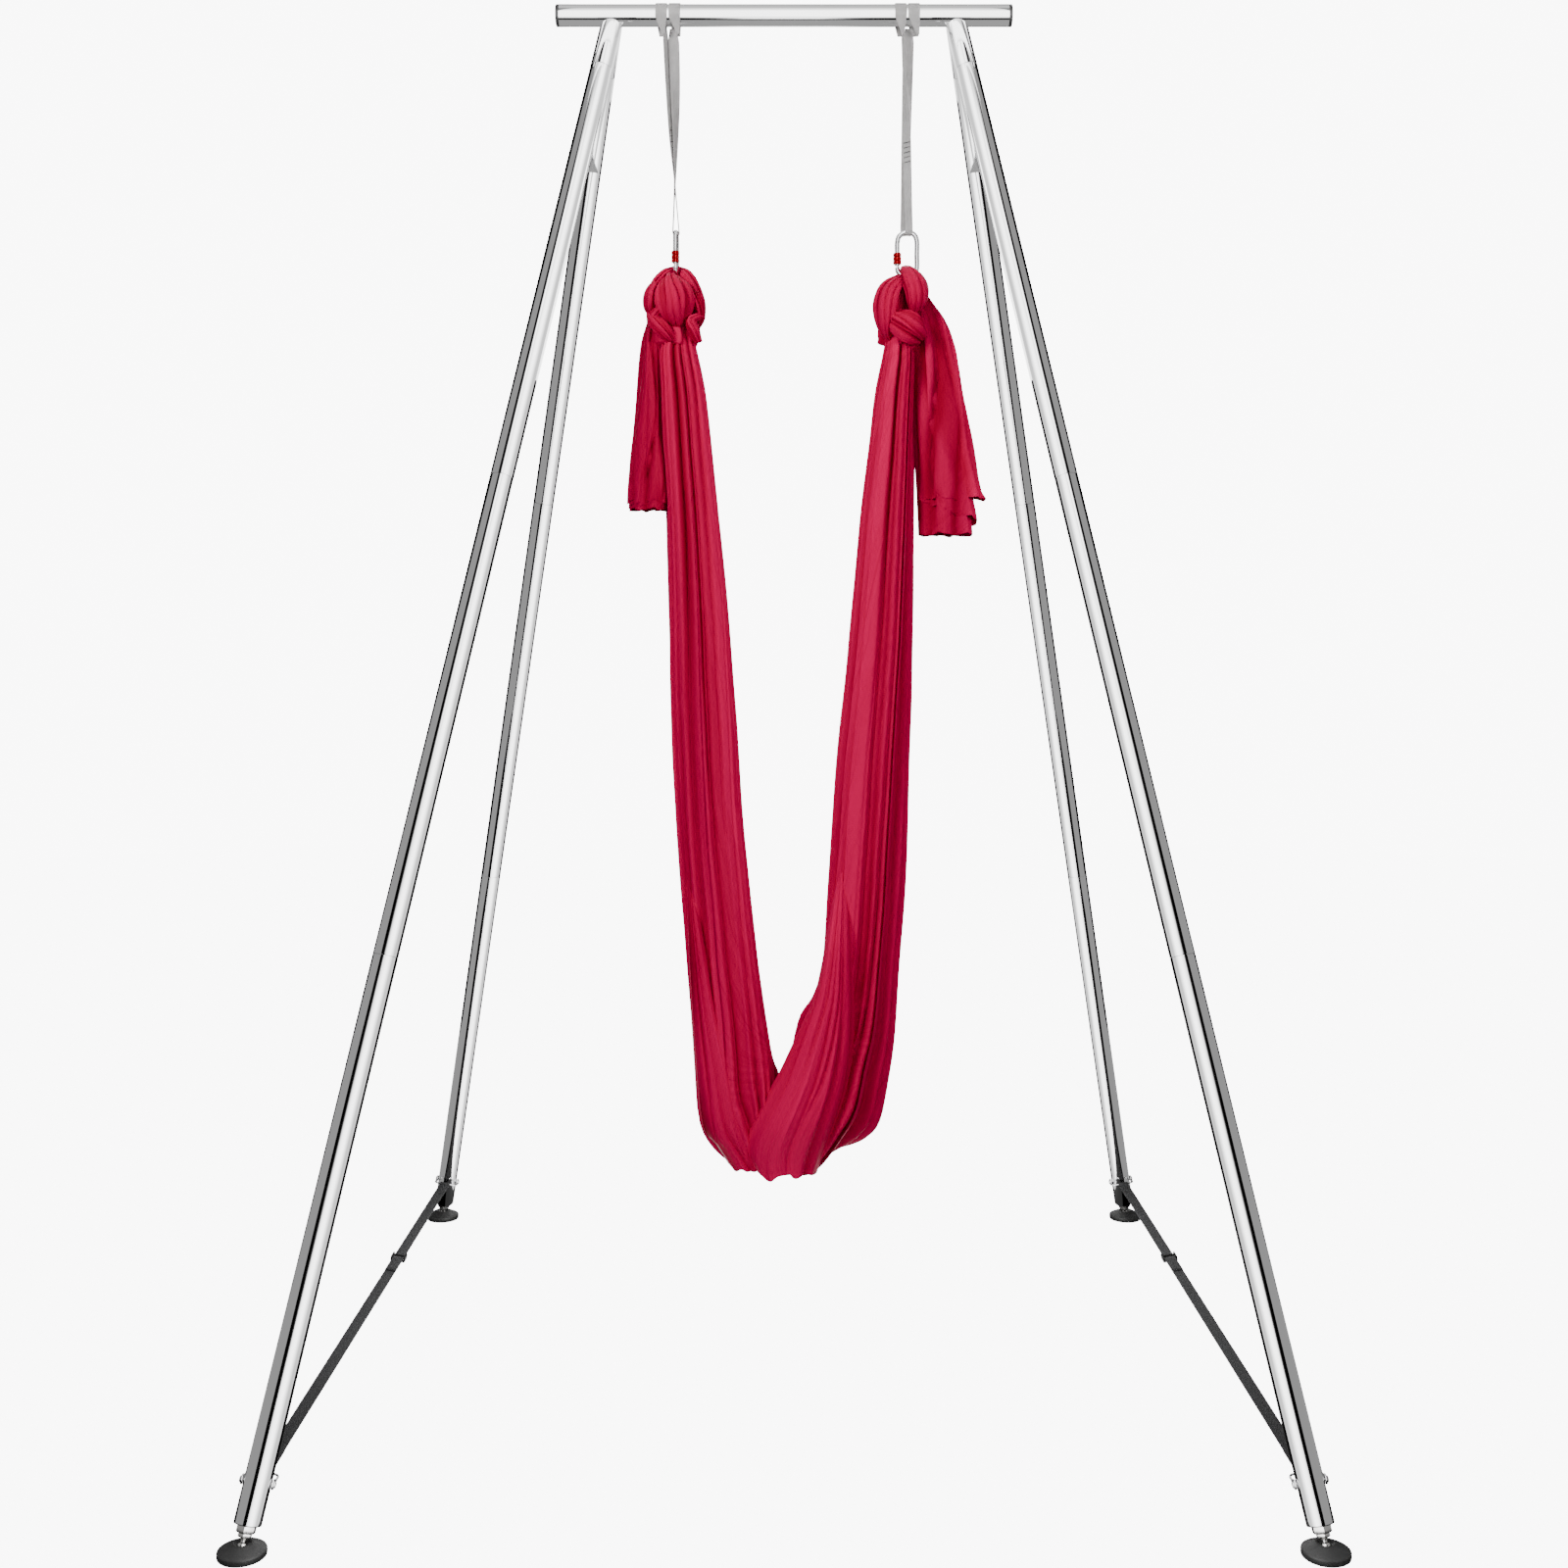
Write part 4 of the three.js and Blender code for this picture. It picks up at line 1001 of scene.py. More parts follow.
def chamfered_hex(name, radius, low, high, bore):
    """A hexagon with its corners turned off at both faces and a countersunk bore."""
    nut = prism(name, radius, low, high, 6)
    flat = radius * math.cos(math.pi / 6)
    turn = (radius - flat) * 0.6
    blank = turned("blank", [
        (flat * 0.98, low), (radius, low + turn), (radius, high - turn), (flat * 0.98, high),
    ], 96)
    carve(nut, blank, "INTERSECT")
    sink = 0.0007
    carve(nut, turned("thread_bore", [
        (bore + sink, low - 0.001), (bore + sink, low), (bore, low + sink),
        (bore, high - sink), (bore + sink, high), (bore + sink, high + 0.001),
    ], 48))
    soften(nut, 0.0003, 2, CORNER_ANGLE)
    return nut


def foot_insert():
    """The round plug in the tube's end with the large hexagon under it."""
    hexagon = chamfered_hex(
        "insert_master", INSERT_HEX, TUBE_END + FIT_GAP, TUBE_END + INSERT_HEIGHT,
        STUD_RADIUS + FIT_GAP,
    )
    round_plug, bore = BORE_RADIUS - FIT_GAP, STUD_RADIUS + FIT_GAP
    low, high = TUBE_END - INSERT_PLUG, TUBE_END + FIT_GAP
    plug = turned("plug", [
        (round_plug - 0.0008, low), (round_plug, low + 0.0008), (round_plug, high),
        (bore, high), (bore, low), (round_plug - 0.0008, low),
    ], 48)
    return join("insert_master", [hexagon, plug])


def ball_stud():
    """A threaded stud with a ball end; its thread is cut as fine grooves."""
    end = LEG_LENGTH - STUD_NECK_LENGTH
    profile = [(STUD_RADIUS - THREAD_DEPTH, LEG_LENGTH - STUD_REACH)]
    height = LEG_LENGTH - STUD_REACH + THREAD_DEPTH
    while height < end - 2 * THREAD_PITCH:
        profile.append((STUD_RADIUS, height))
        profile.append((STUD_RADIUS - THREAD_DEPTH, height + THREAD_PITCH / 2))
        height += THREAD_PITCH
    profile += [(STUD_RADIUS - 0.0002, height + 0.0005), (STUD_RADIUS - 0.0002, end - 0.001)]
    profile.append((STUD_NECK, end))
    neck_angle = math.asin(STUD_NECK / BALL_RADIUS)
    for step in range(BALL_STEPS):
        angle = neck_angle + (math.pi - neck_angle) * step / BALL_STEPS
        profile.append((BALL_RADIUS * math.sin(angle), LEG_LENGTH - BALL_RADIUS * math.cos(angle)))
    return turned("stud_master", profile, 40)


def rubber_pad():
    """A cone-shaped pad with a rolled rim, a lip round the ball and a ribbed sole."""
    base = -FOOT_PLACE.z
    profile = [(radius, base + height) for radius, height in PAD_PROFILE]
    lip_angle = math.asin(CUP_LIP / CUP_RADIUS)
    for step in range(CUP_STEPS):
        angle = lip_angle - (lip_angle + QUARTER) * step / CUP_STEPS
        profile.append((CUP_RADIUS * math.cos(angle), CUP_RADIUS * math.sin(angle)))
    return turned("pad_master", profile, 72)


def make_legs():
    sections = [leg_section(index) for index in range(len(SECTION_NAMES))]
    drill = prism("drill", PIN_RADIUS + FIT_GAP, -DRILL_REACH, DRILL_REACH, 32)
    bake_place(drill, Matrix.Translation((0, 0, PIN_PLACE)) @ Matrix.Rotation(QUARTER, 4, "Y"))
    carve(sections[-1], drill)
    insert = foot_insert()
    nut_top = TUBE_END + INSERT_HEIGHT + FIT_GAP
    nut = chamfered_hex(
        "lock_nut_master", LOCK_NUT, nut_top, nut_top + LOCK_NUT_HEIGHT - FIT_GAP,
        STUD_RADIUS + FIT_GAP,
    )
    stud = ball_stud()
    pad = rubber_pad()
    for place, (side_x, side_y) in PLACES.items():
        matrix = leg_frame(side_x, side_y)
        make_stub(place, matrix, side_y)
        for level, section in zip(SECTION_NAMES, sections):
            tube = duplicate(section, f"leg_tube_{place}_{level}", matrix)
            settle(tube, "rig", "steel_tube", f"leg_{place}_{level}")
        for master, name, body, node in (
            (insert, "insert_hex", "rig", "foot_insert"),
            (nut, "lock_nut", "rig", "jam_nut"),
            (stud, "ball_stud", f"stud_{place}", "foot_stud"),
        ):
            piece = duplicate(master, f"{name}_{place}", matrix, FACET_ANGLE)
            settle(piece, body, "zinc_hardware", f"{node}_{place}")
        foot = Matrix.Translation((FOOT_PLACE.x * side_x, FOOT_PLACE.y * side_y, FOOT_PLACE.z))
        sole = duplicate(pad, f"pad_rubber_{place}", foot, CURVED_ANGLE)
        settle(sole, f"pad_{place}", "rubber", f"foot_pad_{place}")
        make_bail(place, side_x, side_y)
    discard(*sections, insert, nut, stud, pad)


# ---------------------------------------------------------------- bails, straps and buckles

PIN_SETBACK = 0.067
PIN_PLACE = TUBE_END - PIN_SETBACK
PIN_RADIUS = 0.0035
PIN_HEAD = 0.0055
PIN_HEAD_HEIGHT = 0.0025
BAIL_WIRE = 0.002
BAIL_EYE = 0.007
BAIL_SIDE_GAP = 0.001
BAIL_REACH = 0.036
BAIL_CORNER = 0.008
BAIL_STEPS = 8


def pin_centre(side_x, side_y):
    down, _, _, _ = leg_axes(side_x, side_y)
    return Vector((LEG_TOP.x * side_x, 0, LEG_TOP.z)) + down * PIN_PLACE


def make_bail(place, side_x, side_y):
    """A wire U with an eye at each end, and the pin that holds it through the leg."""
    _, inward, _, pin_line = leg_axes(side_x, side_y)
    matrix = frame_matrix(pin_line, inward, pin_line.cross(inward), pin_centre(side_x, side_y))
    side = TUBE_RADIUS + BAIL_SIDE_GAP + BAIL_WIRE
    eye = BAIL_EYE - BAIL_WIRE - PIN_RADIUS - FIT_GAP
    path = [(-side, eye + BAIL_EYE, 0)]
    for sign in (-1, 1):
        for step in range(BAIL_STEPS + 1):
            angle = QUARTER * step / BAIL_STEPS
            if sign > 0:
                angle = QUARTER - angle
            x = sign * (side - BAIL_CORNER + BAIL_CORNER * math.cos(angle))
            path.append((x, BAIL_REACH - BAIL_CORNER + BAIL_CORNER * math.sin(angle), 0))
    path.append((side, eye + BAIL_EYE, 0))
    parts = [wire(f"bail_wire_{place}", path, BAIL_WIRE, fineness=4)]
    for x in (-side, side):
        deselect()
        bpy.ops.mesh.primitive_torus_add(
            major_radius=BAIL_EYE, minor_radius=BAIL_WIRE, major_segments=32, minor_segments=12,
            location=(x, eye, 0), rotation=(0, QUARTER, 0),
        )
        parts.append(bpy.context.object)
    bail = join(f"bail_wire_{place}", parts)
    put_down(bail, matrix, CURVED_ANGLE)
    settle(bail, "rig", "polished_hardware", f"bail_{place}")
    grip = TUBE_RADIUS + BAIL_SIDE_GAP + BAIL_WIRE * 2 + FIT_GAP
    dome = [
        (PIN_HEAD, grip), (PIN_HEAD, grip + 0.001), (0.0048, grip + 0.0019),
        (0.0022, grip + PIN_HEAD_HEIGHT),
    ]
    pin = turned(f"pin_{place}", [
        *((radius, -height) for radius, height in reversed(dome)),
        (PIN_RADIUS, -grip), (PIN_RADIUS, grip), *dome,
    ], 32)
    put_down(pin, matrix @ Matrix.Rotation(QUARTER, 4, "Y"), CURVED_ANGLE)
    settle(pin, "rig", "polished_hardware", f"bail_pin_{place}")


EDGE_STEPS = 3
FACE_STEPS = 8


def webbing_section(width, thickness):
    """Points round a flat band with rounded selvedges: across, then through."""
    half, thin = width / 2, thickness / 2
    points = []
    for sign in (1, -1):
        for step in range(EDGE_STEPS * 2 + 1):
            angle = -QUARTER + math.pi * step / (EDGE_STEPS * 2)
            bow = thin * math.cos(angle)
            points.append((sign * (half - thin + bow), sign * thin * math.sin(angle)))
        for step in range(1, FACE_STEPS):
            x = sign * (half - thin) * (1 - 2 * step / FACE_STEPS)
            points.append((x, sign * thin))
    return points


def skin(name, rings, uv_rows, closed=True, crest_light=None):
    """A mesh over a row of rings of points, with a UV map in metres; a closed one has ends."""
    rows, count = rings.shape[:2]
    points = rings.reshape(-1, 3)
    across = count if closed else count - 1
    row, column = np.meshgrid(np.arange(rows - 1), np.arange(across), indexing="ij")
    after = (column + 1) % count
    faces = np.stack([
        row * count + column, row * count + after,
        (row + 1) * count + after, (row + 1) * count + column,
    ], axis=-1).reshape(-1, 4)
    corners = [tuple(face) for face in faces.tolist()]
    if closed:
        corners.append(tuple(range(count - 1, -1, -1)))
        corners.append(tuple(range((rows - 1) * count, rows * count)))
    mesh = bpy.data.meshes.new(name)
    mesh.from_pydata(points.tolist(), [], corners)
    flat = np.zeros((len(mesh.loops), 2))
    column_after = column + 1
    uv = np.stack([
        uv_rows[row, column], uv_rows[row, column_after],
        uv_rows[row + 1, column_after], uv_rows[row + 1, column],
    ], axis=2).reshape(-1, 2)
    flat[:len(uv)] = uv
    layer = mesh.uv_layers.new(name="cloth")
    layer.data.foreach_set("uv", flat.ravel())
    # This attribute carries the silk's painted light: lighter colour on the fold crests, painted shade in the valleys.
    if crest_light is not None:
        heights = mesh.attributes.new("crest_light", "FLOAT", "POINT")
        heights.data.foreach_set("value", crest_light.ravel())
    mesh.polygons.foreach_set("use_smooth", [True] * len(mesh.polygons))
    piece = bpy.data.objects.new(name, mesh)
    bpy.context.scene.collection.objects.link(piece)
    return piece


def webbing(name, stations, thickness):
    """Flat webbing along stations of a point, the line across the band and its width."""
    rings, uv_rows = [], []
    run = 0.0
    for index, (at, across, width) in enumerate(stations):
        before = stations[max(index - 1, 0)][0]
        after = stations[min(index + 1, len(stations) - 1)][0]
        along = (after - before).normalized()
        face = across.cross(along).normalized()
        side = along.cross(face).normalized()
        if index:
            run += (at - before).length
        section = webbing_section(width, thickness)
        rings.append([at + side * x + face * z for x, z in section])
        reach = np.cumsum([0.0] + [
            math.dist(a, b) for a, b in zip(section, section[1:] + section[:1])
        ])
        uv_rows.append([(run, share) for share in reach])
    return skin(name, np.array(rings), np.array(uv_rows))


STRAP_WIDTH = 0.025
STRAP_THICKNESS = 0.0019
STRAP_SPACING = 0.012
STRAP_FOLD = 0.090
STRAP_TAIL = 0.095
STRAP_TAPER = 0.016
BUCKLE_PLACE = 0.260
LOOP_RADIUS = BAIL_WIRE + 0.0005 + 0.001
LOOP_STEPS = 12
BAND_PARTS = 24
PLY_GAP = 0.0001
SEWN_PLACES = (0.030, 0.062)
SEWN_ROWS = 5
ROW_PITCH = 0.0045
ROW_REACH = 0.010
ROW_STITCHES = 7
STITCH_LIFT = 0.0002
THREAD_RADIUS = 0.00028
BUCKLE_RAIL = 0.004
BUCKLE_LAP = 0.002
BUCKLE_BELOW = -0.0043
BUCKLE_ABOVE = 0.0063
BUCKLE_END = 0.015
LIFTED_BAR = 0.0023


def strap_band(name, points):
    """Strap webbing along a bent path of points in the strap's own plane."""
    points = [Vector(point) for point in points]
    across = Vector((1, 0, 0))
    stations = []
    for start, end in zip(points, points[1:]):
        steps = max(1, round((end - start).length / STRAP_SPACING))
        for step in range(steps):
            stations.append((start.lerp(end, step / steps), across, STRAP_WIDTH))
    stations.append((points[-1], across, STRAP_WIDTH))
    return webbing(name, stations, STRAP_THICKNESS)


def loop_arc(half, sign):
    """The bend of the strap round one bail, from its lower side to its upper side."""
    points = []
    for step in range(LOOP_STEPS + 1):
        angle = -QUARTER + math.pi * step / LOOP_STEPS
        out, up = LOOP_RADIUS * math.cos(angle), LOOP_RADIUS * math.sin(angle)
        points.append((0, sign * (half + out), up))
    return points


def stitch_row(y, height):
    """Sewing stitches across the strap, each a short thread bent down into the webbing."""
    start, end = Vector((-ROW_REACH, y, height)), Vector((ROW_REACH, y, height))
    lift = Vector((0, 0, STITCH_LIFT))
    step = (end - start) / ROW_STITCHES
    parts = []
    for index in range(ROW_STITCHES):
        low = start + step * (index + 0.12)
        high = start + step * (index + 0.88)
        middle = (low + high) / 2 + lift
        knots = [low - lift * 0.4, low + lift * 0.7, middle, high + lift * 0.7, high - lift * 0.4]
        parts.append(wire("stitch", knots, THREAD_RADIUS, fineness=1))
    return parts


def make_buckle(name, matrix):
    """A ladder buckle: rails, two lower bars and an upper bar raised over the webbing."""
    inner = STRAP_WIDTH / 2 + FIT_GAP
    outer, lap = inner + BUCKLE_RAIL, inner + BUCKLE_LAP
    below, above, end = BUCKLE_BELOW, BUCKLE_ABOVE, BUCKLE_END
    parts = []
    for sign in (-1, 1):
        low = (min(sign * inner, sign * outer), -end, below)
        high = (max(sign * inner, sign * outer), end, above)
        parts.append(box(name, low, high))
    for y in (-end, end - BUCKLE_RAIL):
        parts.append(box(name, (-lap, y, below), (lap, y + BUCKLE_RAIL, -FIT_GAP)))
    parts.append(box(name, (-lap, 0, LIFTED_BAR), (lap, BUCKLE_RAIL, above)))
    whole = parts.pop(0)
    for part in parts:
        carve(whole, part, "UNION")
    whole.name = whole.data.name = name
    soften(whole, 0.0009, 3, CORNER_ANGLE)
    put_down(whole, matrix)
    return whole


def make_strap(side, sign):
    """One leg strap: a band looped round both bails, sewn back on itself, with a free tail."""
    _, _, _, pin_line = leg_axes(sign, 1)
    across = pin_line * (1 if pin_line.x > 0 else -1)
    along = Vector((0, 1, 0))
    centre = pin_centre(sign, 1)
    half = centre.y - BAIL_REACH
    matrix = frame_matrix(across, along, across.cross(along), Vector((centre.x, 0, centre.z)))
    layer = STRAP_THICKNESS / 2 + PLY_GAP / 2
    under, reach = -layer - PLY_GAP, half - STRAP_TAPER
    band = [(0, STRAP_FOLD - half, under), (0, -reach, under), *loop_arc(half, -1)]
    for step in range(BAND_PARTS + 1):
        band.append((0, reach * (2 * step / BAND_PARTS - 1), layer))
    band += [*loop_arc(half, 1)[::-1], (0, reach, under), (0, half - STRAP_FOLD, under)]
    main = strap_band(f"strap_webbing_{side}", band)
    tail = strap_band("strap_tail", [
        (0, BUCKLE_PLACE - 0.0045, 3 * layer + PLY_GAP * 2),
        (0, BUCKLE_PLACE - STRAP_TAIL * 0.6, 3 * layer + PLY_GAP),
        (0, BUCKLE_PLACE - STRAP_TAIL, 3 * layer + PLY_GAP * 2),
    ])
    strap = join(f"strap_webbing_{side}", [main, tail])
    bake_place(strap, matrix)
    settle(strap, "rig", "black_webbing", f"strap_{side}")
    stitches = []
    for end in (-1, 1):
        for offset in SEWN_PLACES:
            for row in range(SEWN_ROWS):
                stitches += stitch_row(end * (half - offset - row * ROW_PITCH), 2 * layer)
    sewing = join(f"strap_stitching_{side}", stitches)
    bake_place(sewing, matrix)
    settle(sewing, "rig", "black_webbing", finish="thread")
    buckle_frame = matrix @ Matrix.Translation((0, BUCKLE_PLACE, 0))
    buckle = make_buckle(f"buckle_frame_{side}", buckle_frame)
    settle(buckle, "rig", "black_plastic", f"buckle_{side}")


# ---------------------------------------------------------------- slings

SLING_WIDTH = 0.025
SLING_THICKNESS = 0.0019
SLING_BOTTOM_WIDTH = 0.017
SLING_DROP = 0.476
THROAT_DROP = 0.044
BAND_RADIUS = TUBE_RADIUS + 0.0004 + SLING_THICKNESS / 2
STRAND_LOOP = 0.0055 + 0.0004 + SLING_THICKNESS / 2


def level_line(degrees):
    return Vector((math.cos(math.radians(degrees)), math.sin(math.radians(degrees)), 0))


def eased(share):
    return share * share * (3 - 2 * share)


BAND_TIP_WIDTH = 0.006
BAND_TIP_DROP = 0.046
BAND_TIP_FRONT = 0.011
BAND_SHARES = 10


def make_band(name, centre, tip_edge):
    """One turn of the hitch: up behind the bar, over it, then down to a point in front."""
    edge = centre + SLING_WIDTH / 2
    stations = []
    for step in range(BAND_SHARES):
        share = 1 - step / BAND_SHARES
        start = Vector((0, BAND_RADIUS * math.cos(-0.35), BAND_RADIUS * math.sin(-0.35)))
        at = start.lerp(Vector((0, BAND_TIP_FRONT, 0.004 - BAND_TIP_DROP)), share)
        width = SLING_WIDTH + (0.014 - SLING_WIDTH) * share
        at.x = edge + (tip_edge - edge) * share - width / 2
        stations.append((at, Vector((1, 0, 0)), width))
    for step in range(41):
        angle = math.radians(-20 + 220 * step / 40)
        at = Vector((centre, BAND_RADIUS * math.cos(angle), BAND_RADIUS * math.sin(angle)))
        stations.append((at, Vector((1, 0, 0)), SLING_WIDTH))
    start = stations[-1][0].copy()
    for step in range(1, BAND_SHARES + 1):
        share = step / BAND_SHARES
        at = start.lerp(Vector((0, -BAND_TIP_FRONT, -BAND_TIP_DROP)), share)
        width = SLING_WIDTH + (BAND_TIP_WIDTH - SLING_WIDTH) * share
        at.x = edge + (tip_edge - edge) * share - width / 2
        stations.append((at, Vector((1, 0, 0)), width))
    return webbing(name, stations, SLING_THICKNESS)


def strand_station(strand, top, low, share):
    """The middle of a hanging strand, the line across it and its width."""
    turned_share = (share - strand["from"]) / (strand["to"] - strand["from"])
    turn = strand["turn"] + (strand["low_turn"] - strand["turn"]) * eased(min(1, max(0, turned_share)))
    at = top.lerp(low, share)
    at.x += strand["bow"] * math.sin(math.pi * share)
    at.y += strand["depth"] * math.sin(math.pi * share)
    width = SLING_WIDTH + (SLING_BOTTOM_WIDTH - SLING_WIDTH) * eased(share)
    return at, level_line(turn), width * (0.62 + 0.38 * min(1, share * 16))


def make_sling(side, hitch, lean, bow_turn, strands, tack):
    """A sewn webbing loop hitched round the bar, its two strands hanging to the carabiner."""
    base = Matrix.Translation((hitch, 0, BAR_HEIGHT))
    parts = [make_band("band", -0.0145, -0.0065), make_band("band", 0.0145, 0.0265)]
    out = Vector((0, 0, 1)).cross(level_line(bow_turn))
    steps = 60
    stitches = []
    for sign, strand in zip((-1, 1), strands):
        top = Vector((strand["x"], sign * 0.0032, -THROAT_DROP + 0.016))
        low = Vector((lean + strand["low_x"], 0, -SLING_DROP)) + out * sign * STRAND_LOOP
        stations = [strand_station(strand, top, low, step / steps) for step in range(steps + 1)]
        loop_steps = 10
        for step in range(1, loop_steps // 2 + 1):
            angle = math.pi * step / loop_steps
            at = Vector((lean, 0, -SLING_DROP - STRAND_LOOP * math.sin(angle)))
            at += out * sign * STRAND_LOOP * math.cos(angle)
            at.x += strand["low_x"] * (1 - step / (loop_steps // 2))
            stations.append((at, level_line(strand["low_turn"]), SLING_BOTTOM_WIDTH))
        parts.append(webbing("strand", stations, SLING_THICKNESS))
        if sign < 0:
            first, last, rows = tack
            for row in range(rows):
                share = first + (last - first) * row / (rows - 1)
                at, across, width = strand_station(strand, top, low, share)
                face = Vector((0, 0, 1)).cross(across)
                face *= -1 if face.y > 0 else 1
                lift = face * (SLING_THICKNESS / 2)
                reach, rise = across * (width * 0.34), Vector((0, 0, 0.0022))
                ends = (at - reach - rise, at + reach + rise)
                bent = face * 0.0006
                points = [ends[0] + lift - bent, ends[0] + lift + bent, at + lift + bent * 1.4,
                          ends[1] + lift + bent, ends[1] + lift - bent]
                stitches.append(wire("stitch", points, 0.0008, fineness=2))
    sling = join(f"sling_webbing_{side}", parts)
    bake_place(sling, base)
    settle(sling, "hammock", "grey_webbing", f"sling_{side}")
    sewing = join(f"sling_stitching_{side}", stitches)
    bake_place(sewing, base)
    settle(sewing, "hammock", "grey_webbing", finish="thread")


# ---------------------------------------------------------------- carabiners

WIRE_RADIUS = 0.0055
EYE_HALF_WIDTH = 0.0215
EYE_HEIGHT = 0.097
BOW_HEIGHT = BAR_HEIGHT - SLING_DROP
NOSE_SHOULDER = 0.024
NOSE_TIP = 0.042
GATE_PIVOT = 0.080
GATE_RADIUS = 0.0052
GATE_RISE = 0.0058
SLEEVE_START = 0.0455
SLEEVE_LENGTH = 0.025
SLEEVE_RADIUS = 0.0086
SLEEVE_BORE = 0.006
RIVET_RADIUS = 0.0016
BOW_SHARES = [
    (-1, 0.25), (-0.82, 0.093), (-0.25, 0.008), (0.3, 0.004), (0.76, 0.06), (1, 0.2), (1, 0.5),
    (1, 0.8), (0.79, 0.935), (0.3, 0.995), (-0.2, 0.995), (-0.65, 0.95), (-0.93, 0.875),
]


def at_pivot(piece):
    bake_place(piece, Matrix.Translation((-EYE_HALF_WIDTH, 0, -GATE_PIVOT)))
    return piece


def across_gate(name, radius, half):
    pin = prism(name, radius, -half, half, 32)
    bake_place(pin, Matrix.Rotation(QUARTER, 4, "X"))
    return pin


def make_carabiner(side, place, turn):
    """Forged body with a beak and a slotted fork, a hinged gate and a knurled screw sleeve."""
    matrix = Matrix.Translation(place) @ Matrix.Rotation(math.radians(turn), 4, "Z")
    points = [(-EYE_HALF_WIDTH, 0, -NOSE_TIP)]
    points += [(x * EYE_HALF_WIDTH, 0, -down * EYE_HEIGHT) for x, down in BOW_SHARES]
    points.append((-EYE_HALF_WIDTH, 0, 0.0026 - GATE_PIVOT))
    body = wire(f"carabiner_frame_{side}", resample(points, 90), WIRE_RADIUS)
    carve(body, box("beak_cut", (-EYE_HALF_WIDTH - FIT_GAP / 2, -0.011, -NOSE_TIP - 0.005), (0, 0.011, -NOSE_SHOULDER)))
    carve(body, at_pivot(box("fork_cut", (-0.011, -0.002, -0.006), (0.011, 0.002, 0.008))))
    soften(body, 0.0005, 2, CURVED_ANGLE)
    rivet = turned("rivet", [
        (0.0012, -0.0062), (0.0021, -0.0058), (RIVET_RADIUS, -0.0052), (RIVET_RADIUS, 0.0052),
        (0.0021, 0.0058), (0.0012, 0.0062),
    ], 24)
    bake_place(rivet, Matrix.Rotation(QUARTER, 4, "X"))
    body = join(f"carabiner_frame_{side}", [body, at_pivot(rivet)])
    put_down(body, matrix, FORGED_ANGLE)
    settle(body, "hammock", "polished_hardware", f"carabiner_{side}")

    foot = -GATE_PIVOT + GATE_RISE
    gate = turned(f"gate_bar_{side}", [
        (GATE_RADIUS - 0.0012, foot), (GATE_RADIUS, foot + 0.0012),
        (GATE_RADIUS, -NOSE_SHOULDER - 0.0012), (GATE_RADIUS - 0.0006, -NOSE_SHOULDER - 0.0006),
    ], 48)
    bake_place(gate, Matrix.Translation((-EYE_HALF_WIDTH, 0, 0)))
    half_low = (-EYE_HALF_WIDTH * 2, -0.011, -NOSE_TIP - 0.0006)
    carve(gate, box("half", half_low, (FIT_GAP / 2 - EYE_HALF_WIDTH, 0.011, 0)))
    tongue = across_gate("tongue", 0.0046, 0.0017)
    carve(tongue, box("neck", (-0.0032, -0.00165, 0), (0.0032, 0.00165, 0.0083)), "UNION")
    carve(gate, at_pivot(tongue), "UNION")
    carve(gate, at_pivot(across_gate("hole", RIVET_RADIUS + FIT_GAP, 0.006)))
    soften(gate, 0.0003, 2, math.radians(45))
    put_down(gate, matrix, FORGED_ANGLE)
    settle(gate, f"gate_{side}", "polished_hardware", f"gate_{side}")

    low = -SLEEVE_START - SLEEVE_LENGTH
    high = -SLEEVE_START
    groove = SLEEVE_RADIUS - 0.0011
    third = SLEEVE_LENGTH / 3
    profile = [(SLEEVE_BORE, low), (SLEEVE_RADIUS - 0.0012, low)]
    for band in range(3):
        start, end = low + band * third, low + (band + 1) * third
        profile += [
            (SLEEVE_RADIUS - 0.0006, start + 0.0006), (SLEEVE_RADIUS, start + 0.0012),
            (SLEEVE_RADIUS, end - 0.0012), (SLEEVE_RADIUS - 0.0006, end - 0.0006), (groove, end),
        ]
    profile += [(SLEEVE_BORE, high), (SLEEVE_BORE, low)]
    sleeve = turned(f"sleeve_knurled_{side}", profile, 96)
    activate(sleeve)
    bpy.ops.object.mode_set(mode="EDIT")
    bpy.ops.mesh.select_all(action="DESELECT")
    deselect()
    for vertex in sleeve.data.vertices:
        radius = math.hypot(vertex.co.x, vertex.co.y)
        column = round(math.atan2(vertex.co.y, vertex.co.x) / (2 * math.pi) * 96) % 4
        vertex.select = radius > SLEEVE_RADIUS - 0.0007 and column in (0,)
    bpy.context.view_layer.objects.active = sleeve
    bpy.ops.object.mode_set(mode="EDIT")
    bpy.context.tool_settings.mesh_select_mode = (True, False, False)
    bpy.ops.transform.resize(value=(0.93, 0.93, 1), center_override=(0, 0, 0))
    bpy.ops.object.mode_set(mode="OBJECT")
    put_down(sleeve, matrix @ Matrix.Translation((-EYE_HALF_WIDTH, 0, 0)), FACET_ANGLE)
    settle(sleeve, f"sleeve_{side}", "red_anodised", f"screw_sleeve_{side}")


# ---------------------------------------------------------------- silk

KNOT_BASE = BOW_HEIGHT - 0.243
SILK_DROP = 1.838
SILK_SPREAD = 0.262
SILK_MIDDLE = 0.008
CLOTH_WIDTH = 2.8
HAMMOCK_LENGTH = 3.85


